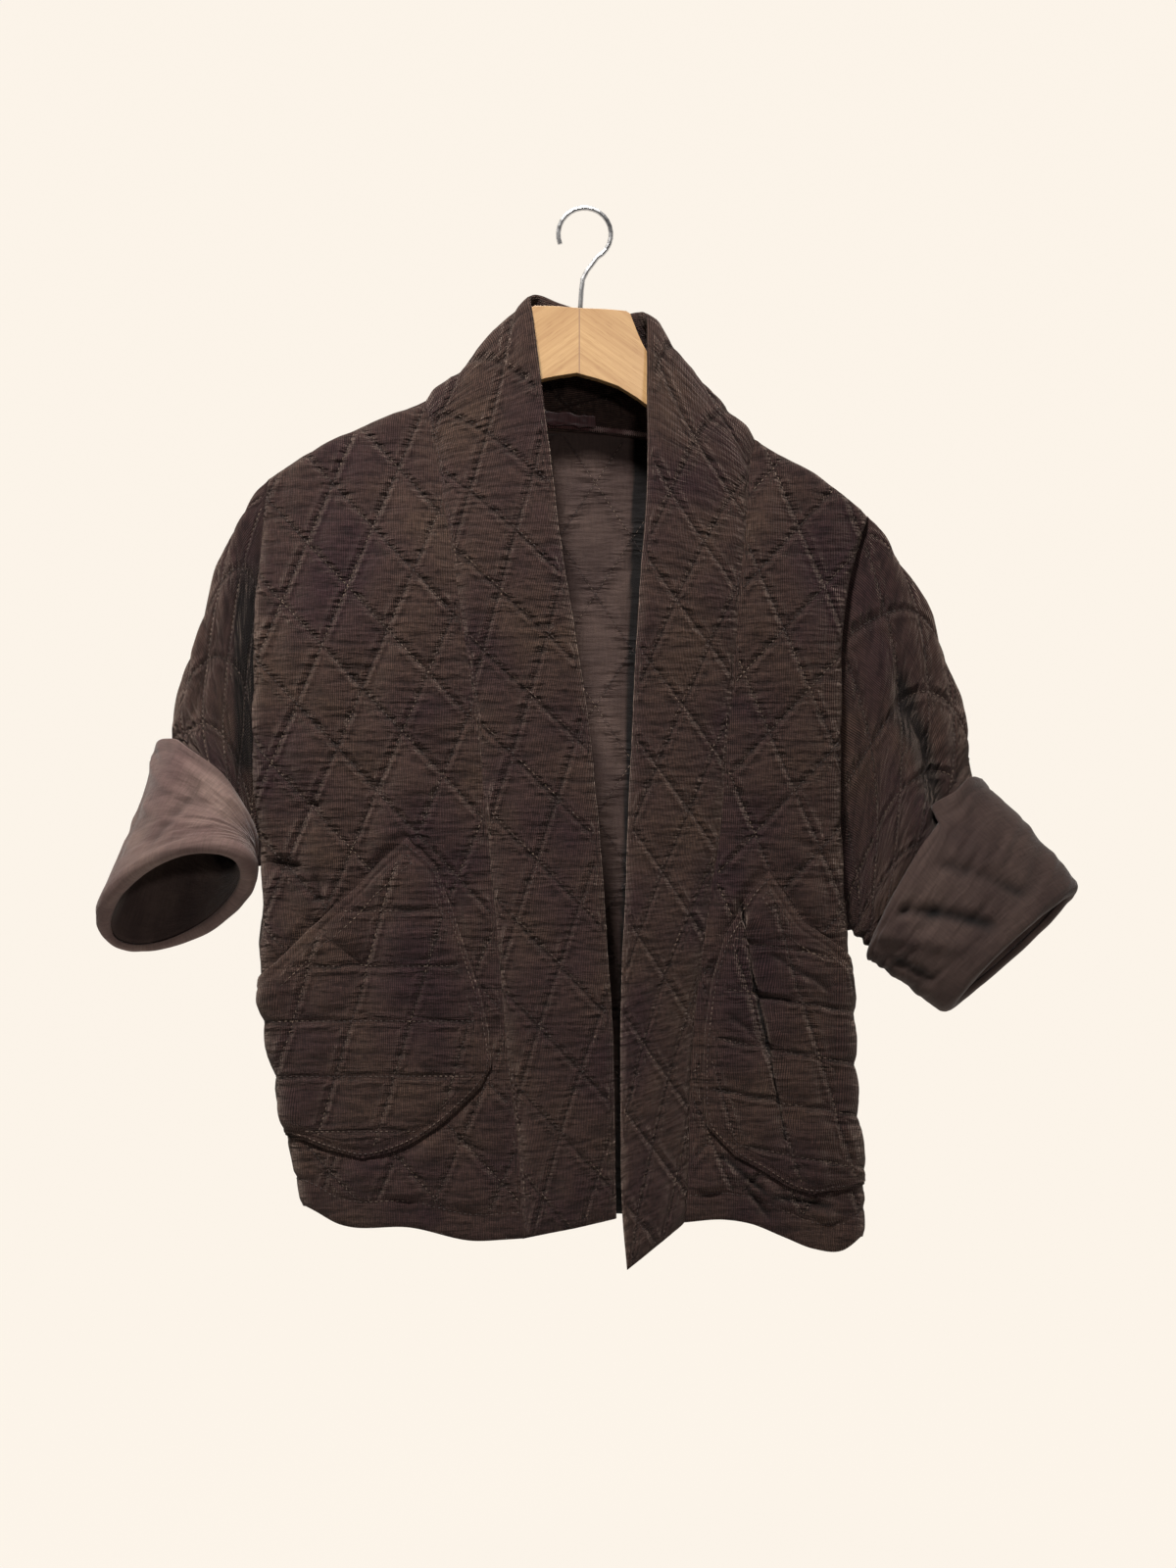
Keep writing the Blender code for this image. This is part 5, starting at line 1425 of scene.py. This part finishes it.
def sleeve_surface(side):
    rows, columns = SLEEVE_GRID
    v = np.linspace(0, SLEEVE_LAST, rows)[:, None] + np.zeros(columns)
    angle = np.zeros(rows)[:, None] + 2 * math.pi * np.arange(columns) / columns
    middle = on_sleeve(side, v, angle)
    axis = middle.mean(axis=1, keepdims=True)
    normal = facing(grid_normals(middle, True), middle - axis)
    along = running(np.linalg.norm(np.diff(axis[:, 0], axis=0), axis=1))[:, None]
    length = along + 0 * angle
    quilt = sleeve_puff(v, angle)
    fade = step(v / 0.6) * step((CUFF_START - v) / 0.6) * (0.8 + 0.2 * np.cos(angle))
    hidden = step((CUFF_START + 0.3 - v) / 0.6)
    crease = creases_at(SLEEVE_CREASES[side], v, angle) * step(v / 0.8) * hidden
    wrinkle = around_noise(angle, length, SLEEVE_SEED + side) * 0.8 * step(v / 0.3) * hidden
    relief = PUFF * quilt * fade + wrinkle
    outer = HALF_WALL * roll(length) + relief + crease
    inner = HALF_WALL * 0.9 - crease
    uv = np.stack(np.broadcast_arrays(girth(middle)[None, :], along), -1) * MM
    return middle, normal, outer, inner, uv


def sleeve_cells(v, angle):
    i = v * SLEEVE_CELLS_ALONG / SLEEVE_LAST
    j = angle / (2 * math.pi) * SLEEVE_CELLS_ROUND
    return (i + j - 2) / SLEEVE_LINES, (i - j - 2) / SLEEVE_LINES


# Where the left sleeve hangs against the front: how far down, and how wide the strip of painted shade in
# the gap is.
GAP_DOWN = (240, 430)
GAP_WIDTH = 17


def sleeve_shade(side, v, angle):
    """How much painted shade a place gets: in the sleeve's long fold on the right, and in the gap beside
    the front on the left.
    """
    if side == RIGHT:
        return np.clip(2.6 * notch_share(side, v, angle) - 0.3, 0, 1)
    spot = on_sleeve(side, v, angle)
    x, down = spot[..., 0], -spot[..., 2]
    away = -x - side_out(side, down)
    first, last = GAP_DOWN
    return (step((GAP_WIDTH - away) / 5) * step((down - first) / 60) * step((last - down) / 12)
            * (np.sin(angle) > 0))


def sleeve(side):
    rows, columns = SLEEVE_GRID
    middle, normal, outer, inner, uv = sleeve_surface(side)
    v = np.linspace(0, SLEEVE_LAST, rows)[:, None]
    angle = np.linspace(0, 2 * math.pi, columns + 1)[None, :]
    cells = np.stack(np.broadcast_arrays(*sleeve_cells(v, angle)), -1)
    quilted = step(v / 0.15) * step((CUFF_START + 0.2 - v) / 0.4)
    return shell(f"sleeve_{WORD[side]}_cloth", middle, normal, outer, inner, uv, (CORDUROY, LINING_PAINTED_SHADE),
                 [f"sleeve_{WORD[side]}"], closed=True, quilt=cells, fade=quilted,
                 shade=sleeve_shade(side, v, angle))


def sleeve_stitches(side):
    rows, columns = SLEEVE_GRID
    middle, normal, outer, _, _ = sleeve_surface(side)
    face = middle + normal * outer[..., None]
    face, normal = (np.concatenate([part, part[:, :2]], axis=1) for part in (face, normal))
    starts, ends, normals = [], [], []
    last_cell = CUFF_START * SLEEVE_CELLS_ALONG / SLEEVE_LAST
    for total in range(-32, 48, SLEEVE_LINES):
        for sign in (1, -1):
            i = np.linspace(0.4, last_cell, 80)
            j = (sign * (total + 2 - i)) % SLEEVE_CELLS_ROUND
            row = i / SLEEVE_CELLS_ALONG * (rows - 1)
            cell = j / SLEEVE_CELLS_ROUND * columns
            breaks = np.flatnonzero(np.abs(np.diff(cell)) > columns / 2) + 1
            for part in np.split(np.arange(len(i)), breaks):
                if len(part) < 3 or not 0 <= total < SLEEVE_CELLS_ROUND:
                    continue
                path = grid_at(face, row[part], cell[part])
                found, square = along_path(path, grid_at(normal, row[part], cell[part]))
                starts.append(found[:, 0])
                ends.append(found[:, 1])
                normals.append(square)
    return stitches(f"sleeve_{WORD[side]}_stitches", np.vstack(starts), np.vstack(ends), np.vstack(normals))


Bend = namedtuple("Bend", "on out")
CUFF_BENDS = rows_of(Bend, (0.7, 0), (3.4, 0.9), (5.2, 4.6), (3.4, 8.4), (0, CUFF_OFFSET))
# The right cuff's face takes the darker copy of the lining, as painted shade.
CUFF_FACE = {LEFT: LINING, RIGHT: LINING_PAINTED_SHADE}
CUFF_FLARE = {LEFT: 3.0, RIGHT: -3.0}
CUFF_ROUND = {LEFT: 0.0, RIGHT: 0.3}


def cuff_surface(side):
    """A sleeve end turned up: out round the rim, then back to a free edge that stands away a little."""
    angles = 2 * math.pi * np.arange(CUFF_COLUMNS) / CUFF_COLUMNS
    bend_rows, back_rows = 18, 62
    last = float(SLEEVE_LAST)
    rings = (last - 0.4, last - 0.2, last)
    end = np.array([on_sleeve(side, np.full(CUFF_COLUMNS, v), angles) for v in rings])
    away = facing(grid_normals(end, True), end - end.mean(1, keepdims=True))[2]
    onward = unit(end[2] - end[1])
    t = np.linspace(0, len(CUFF_BENDS) - 1, bend_rows)
    on, out = (read_in_order(CUFF_BENDS, name, t) for name in ("on", "out"))
    grid = [end[2] + onward * a + away * b for a, b in zip(on, out)]
    from_top = np.minimum(angles, 2 * math.pi - angles) / 0.5
    ends = CUFF_START + CUFF_ROUND[side] * np.exp(-from_top * from_top)
    vs = last + (ends - last) * np.linspace(0, 1, back_rows)[1:, None]
    body = np.array([on_sleeve(side, row, angles) for row in vs])
    out_ways = facing(grid_normals(body, True), body - body.mean(1, keepdims=True))
    share = np.linspace(0, 1, len(vs))
    wave = 0.6 + 0.5 * np.sin(3 * angles + side) + 0.3 * np.sin(5 * angles + 1)
    rise = CUFF_OFFSET + CUFF_FLARE[side] * share[:, None] ** 3 * wave
    grid = np.concatenate([np.array(grid), body + out_ways * rise[..., None]])
    v = np.concatenate([np.full((bend_rows, CUFF_COLUMNS), last), vs])
    return grid, v, angles[None, :] + 0 * v


def cuff(side):
    middle, v, angle = cuff_surface(side)
    normal = grid_normals(middle, True)
    outward = middle - middle.mean(1, keepdims=True)
    if (normal[-12:] * outward[-12:]).sum() < 0:
        normal = -normal
    along = running(np.linalg.norm(np.diff(middle, axis=0), axis=-1).mean(1))[:, None] + 0 * angle
    past = step((along - 16) / 16)
    free = along[-1:] - along
    crease = creases_at(CUFF_CREASES[side], v, angle) * past
    crease = crease + around_noise(angle, along, CUFF_SEED + side) * 1.5 * (0.5 + 0.5 * past)
    seam_line = np.exp(-(((free - 7.5) / 1.2) ** 2)) * 0.7
    outer = HALF_WALL * (0.45 + 0.55 * step(free / 3)) + crease * step((free + 2) / 8) - seam_line + 0.5
    inner = HALF_WALL - crease * step((free + 2) / 8)
    uv = np.stack(np.broadcast_arrays(girth(middle)[None, :], along[:, :1]), -1) * MM
    # Painted shade in the cuff's deeper creases.
    shade = np.clip(-np.concatenate([crease, crease[:, :1]], axis=1) / 4.5, 0, 1) ** 1.3
    return shell(f"cuff_{WORD[side]}_cloth", middle, normal, outer, inner, uv, (CUFF_FACE[side], CORDUROY),
                 [f"cuff_{WORD[side]}"], closed=True, shade=shade)


TAPE_FROM, TAPE_TO = 14.45, 15.15
TAPE_HALF = 0.5


def neck_tape():
    """A short satin loop against the band's inner face."""
    c = np.linspace(TAPE_FROM, TAPE_TO, 60)
    share = np.linspace(0.05, 0.15, 12)
    middle = band_middle(c, share)
    normal = band_seam(c)[1][:, None] + 0 * middle
    ripple = np.sin((c - TAPE_FROM) * 21)[:, None] * 0.5 + 0 * share
    ripple = ripple + noise(c[:, None] * 50, share[None, :] * 100, 3, 4, TAPE_SEED) * 1.1
    reach = BAND_HALF + BAND_PUFF * 0.6 + TAPE_HALF + 0.6 + 0.3 * ripple
    middle = middle - normal * reach[..., None] + np.stack([0 * ripple, 0 * ripple, ripple], -1)
    half = np.full(ripple.shape, TAPE_HALF)
    along, across = band_lengths(middle)
    uv = np.stack(np.meshgrid(across, along), -1) * MM
    return shell("neck_tape_satin", middle, normal, half, half, uv, (SATIN,), ["neck_tape"])


OVERLOCK_FROM, OVERLOCK_TO = 14.4, 15.95
OVERLOCK_PITCH = 1.5


def overlock():
    """The overlocked edge beside the loop: a close zigzag of pale thread on the band's inner face."""
    c = np.linspace(OVERLOCK_FROM, OVERLOCK_TO, 160)
    share = np.linspace(0, 0.2, 16)
    middle, normal, _, inner, uv = band_surface(c, share)
    face = middle - normal * (inner + 0.4)[..., None]
    along = uv[:, 0, 1] / MM
    places = np.arange(2.0, along[-1] - 2, OVERLOCK_PITCH)
    rows = np.interp(places, along, np.arange(len(along)))
    low = grid_at(face, rows, np.full(len(rows), 1.0))
    high = grid_at(face, rows, np.full(len(rows), 5.0))
    square = -unit(grid_at(normal, rows, np.full(len(rows), 3.0)))
    starts = np.vstack([low[:-1], high[:-1]])
    ends = np.vstack([high[:-1], low[1:]])
    return stitches("overlock_stitches", starts, ends, np.vstack([square[:-1], square[:-1]]), OVERLOCK)


# The garment.
fronts = {side: front(side) for side in (LEFT, RIGHT)}
back_piece = back()
band_piece = neck_band()
sleeves = {side: sleeve(side) for side in (LEFT, RIGHT)}
cuffs = {side: cuff(side) for side in (LEFT, RIGHT)}
pockets = {side: pocket(side) for side in (LEFT, RIGHT)}
tape = neck_tape()

sewing = {side: [front_stitches(side)] for side in (LEFT, RIGHT)}
pocket_sewing = {side: [pocket_stitches(side)] for side in (LEFT, RIGHT)}
sleeve_sewing = {side: [sleeve_stitches(side)] for side in (LEFT, RIGHT)}
back_sewing = back_stitches()
band_sewing = [band_stitches(), overlock()]

for name, look in (("hanger", WOOD), ("hook", STEEL)):
    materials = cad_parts[name].data.materials
    materials.clear()
    materials.append(look)
    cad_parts[name].data.shade_smooth()


# Cloth sizes: each cut's width and length flat, in metres, and its area.
Cut = namedtuple("Cut", "flat area")
FRONT_CUT = {LEFT: Cut((0.23, 0.62), 0.112), RIGHT: Cut((0.18, 0.61), 0.074)}
POCKET_CUT = {LEFT: Cut((0.18, 0.24), 0.032), RIGHT: Cut((0.15, 0.25), 0.028)}
SLEEVE_CUT = {LEFT: Cut((0.60, 0.13), 0.0445), RIGHT: Cut((0.64, 0.18), 0.0725)}
CUFF_CUT = {LEFT: Cut((0.30, 0.11), 0.0275), RIGHT: Cut((0.32, 0.14), 0.0385)}
for side in (LEFT, RIGHT):
    rows = [
        (fronts[side], FRONT_CUT[side], "hung", "hanger", sewing[side]),
        (pockets[side], POCKET_CUT[side], "hung", fronts[side], pocket_sewing[side]),
        (sleeves[side], SLEEVE_CUT[side], "hung", fronts[side], sleeve_sewing[side]),
        (cuffs[side], CUFF_CUT[side], "folded", sleeves[side], []),
    ]
    for piece, cut, held, below, sewn in rows:
        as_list(sewn)


# The camera stands 1.5 m in front of the hanger, level with the garment's middle.
SENSOR = 36
VIEW_HEIGHT = 1.184
camera_data = bpy.data.cameras.new("camera")
camera_data.sensor_width = SENSOR
camera_data.lens = SENSOR * EYE_DISTANCE * MM / VIEW_HEIGHT
camera = add_object("camera", camera_data)
camera.location = (EYE_X * MM, -EYE_DISTANCE * MM, -EYE_DOWN * MM)
camera.rotation_euler = (math.pi / 2, 0, 0)
bpy.context.scene.camera = camera


CREAM = (0.983, 0.913, 0.823)


def stage_material():
    """A pale cream, evenly lit backdrop, with hardly any tone of its own."""
    return Look("backdrop").shade({
        "Base Color": tuple(part * 0.01 for part in CREAM), "Emission Color": CREAM,
        "Emission Strength": 0.985, "Specular IOR Level": 0, "Roughness": 0.95,
    })


def backdrop():
    """A pale floor that curves up into a wall well behind the garment."""
    floor, wall, radius, half = -1.35, 2.3, 0.7, 6.0
    bend = [(wall - radius + radius * math.sin(a), floor + radius - radius * math.cos(a))
            for a in np.linspace(0, math.pi / 2, 16)]
    profile = [(-0.9, floor)] + bend + [(wall, 5.0)]
    points = [(x, y, z) for y, z in profile for x in (-half, half)]
    faces = [(2 * i, 2 * i + 1, 2 * i + 3, 2 * i + 2) for i in range(len(profile) - 1)]
    mesh = bpy.data.meshes.new("backdrop")
    mesh.from_pydata(points, [], faces)
    mesh.shade_smooth()
    mesh.materials.append(stage_material())
    add_object("backdrop", mesh)


def area_light(name, place, target, size, power, colour, spread):
    data = bpy.data.lights.new(name, "AREA")
    data.shape = "RECTANGLE"
    data.size, data.size_y = size
    data.spread = math.radians(spread)
    data.energy = power
    data.color = colour
    obj = add_object(name, data)
    obj.location = place
    way = np.array(target) - np.array(place)
    yaw = math.atan2(-way[0], way[1])
    pitch = math.atan2(way[2], math.hypot(way[0], way[1]))
    obj.rotation_euler = (math.pi / 2 + pitch, 0, yaw)


backdrop()
CENTRE = (-0.15, 0, -0.42)
area_light("key", (-0.34, -1.45, 1.65), CENTRE, (0.26, 0.26), 10.4, (1.0, 0.97, 0.93), 50)
area_light("front", (0.40, -2.5, 0.15), CENTRE, (0.20, 0.20), 15, (1.0, 0.97, 0.95), 180)

world = bpy.data.worlds.new("world")
world.use_nodes = True
world.node_tree.nodes["Background"].inputs["Color"].default_value = (1.0, 0.97, 0.92, 1)
world.node_tree.nodes["Background"].inputs["Strength"].default_value = 0.03
bpy.context.scene.world = world
bpy.context.scene.view_settings.view_transform = "Standard"
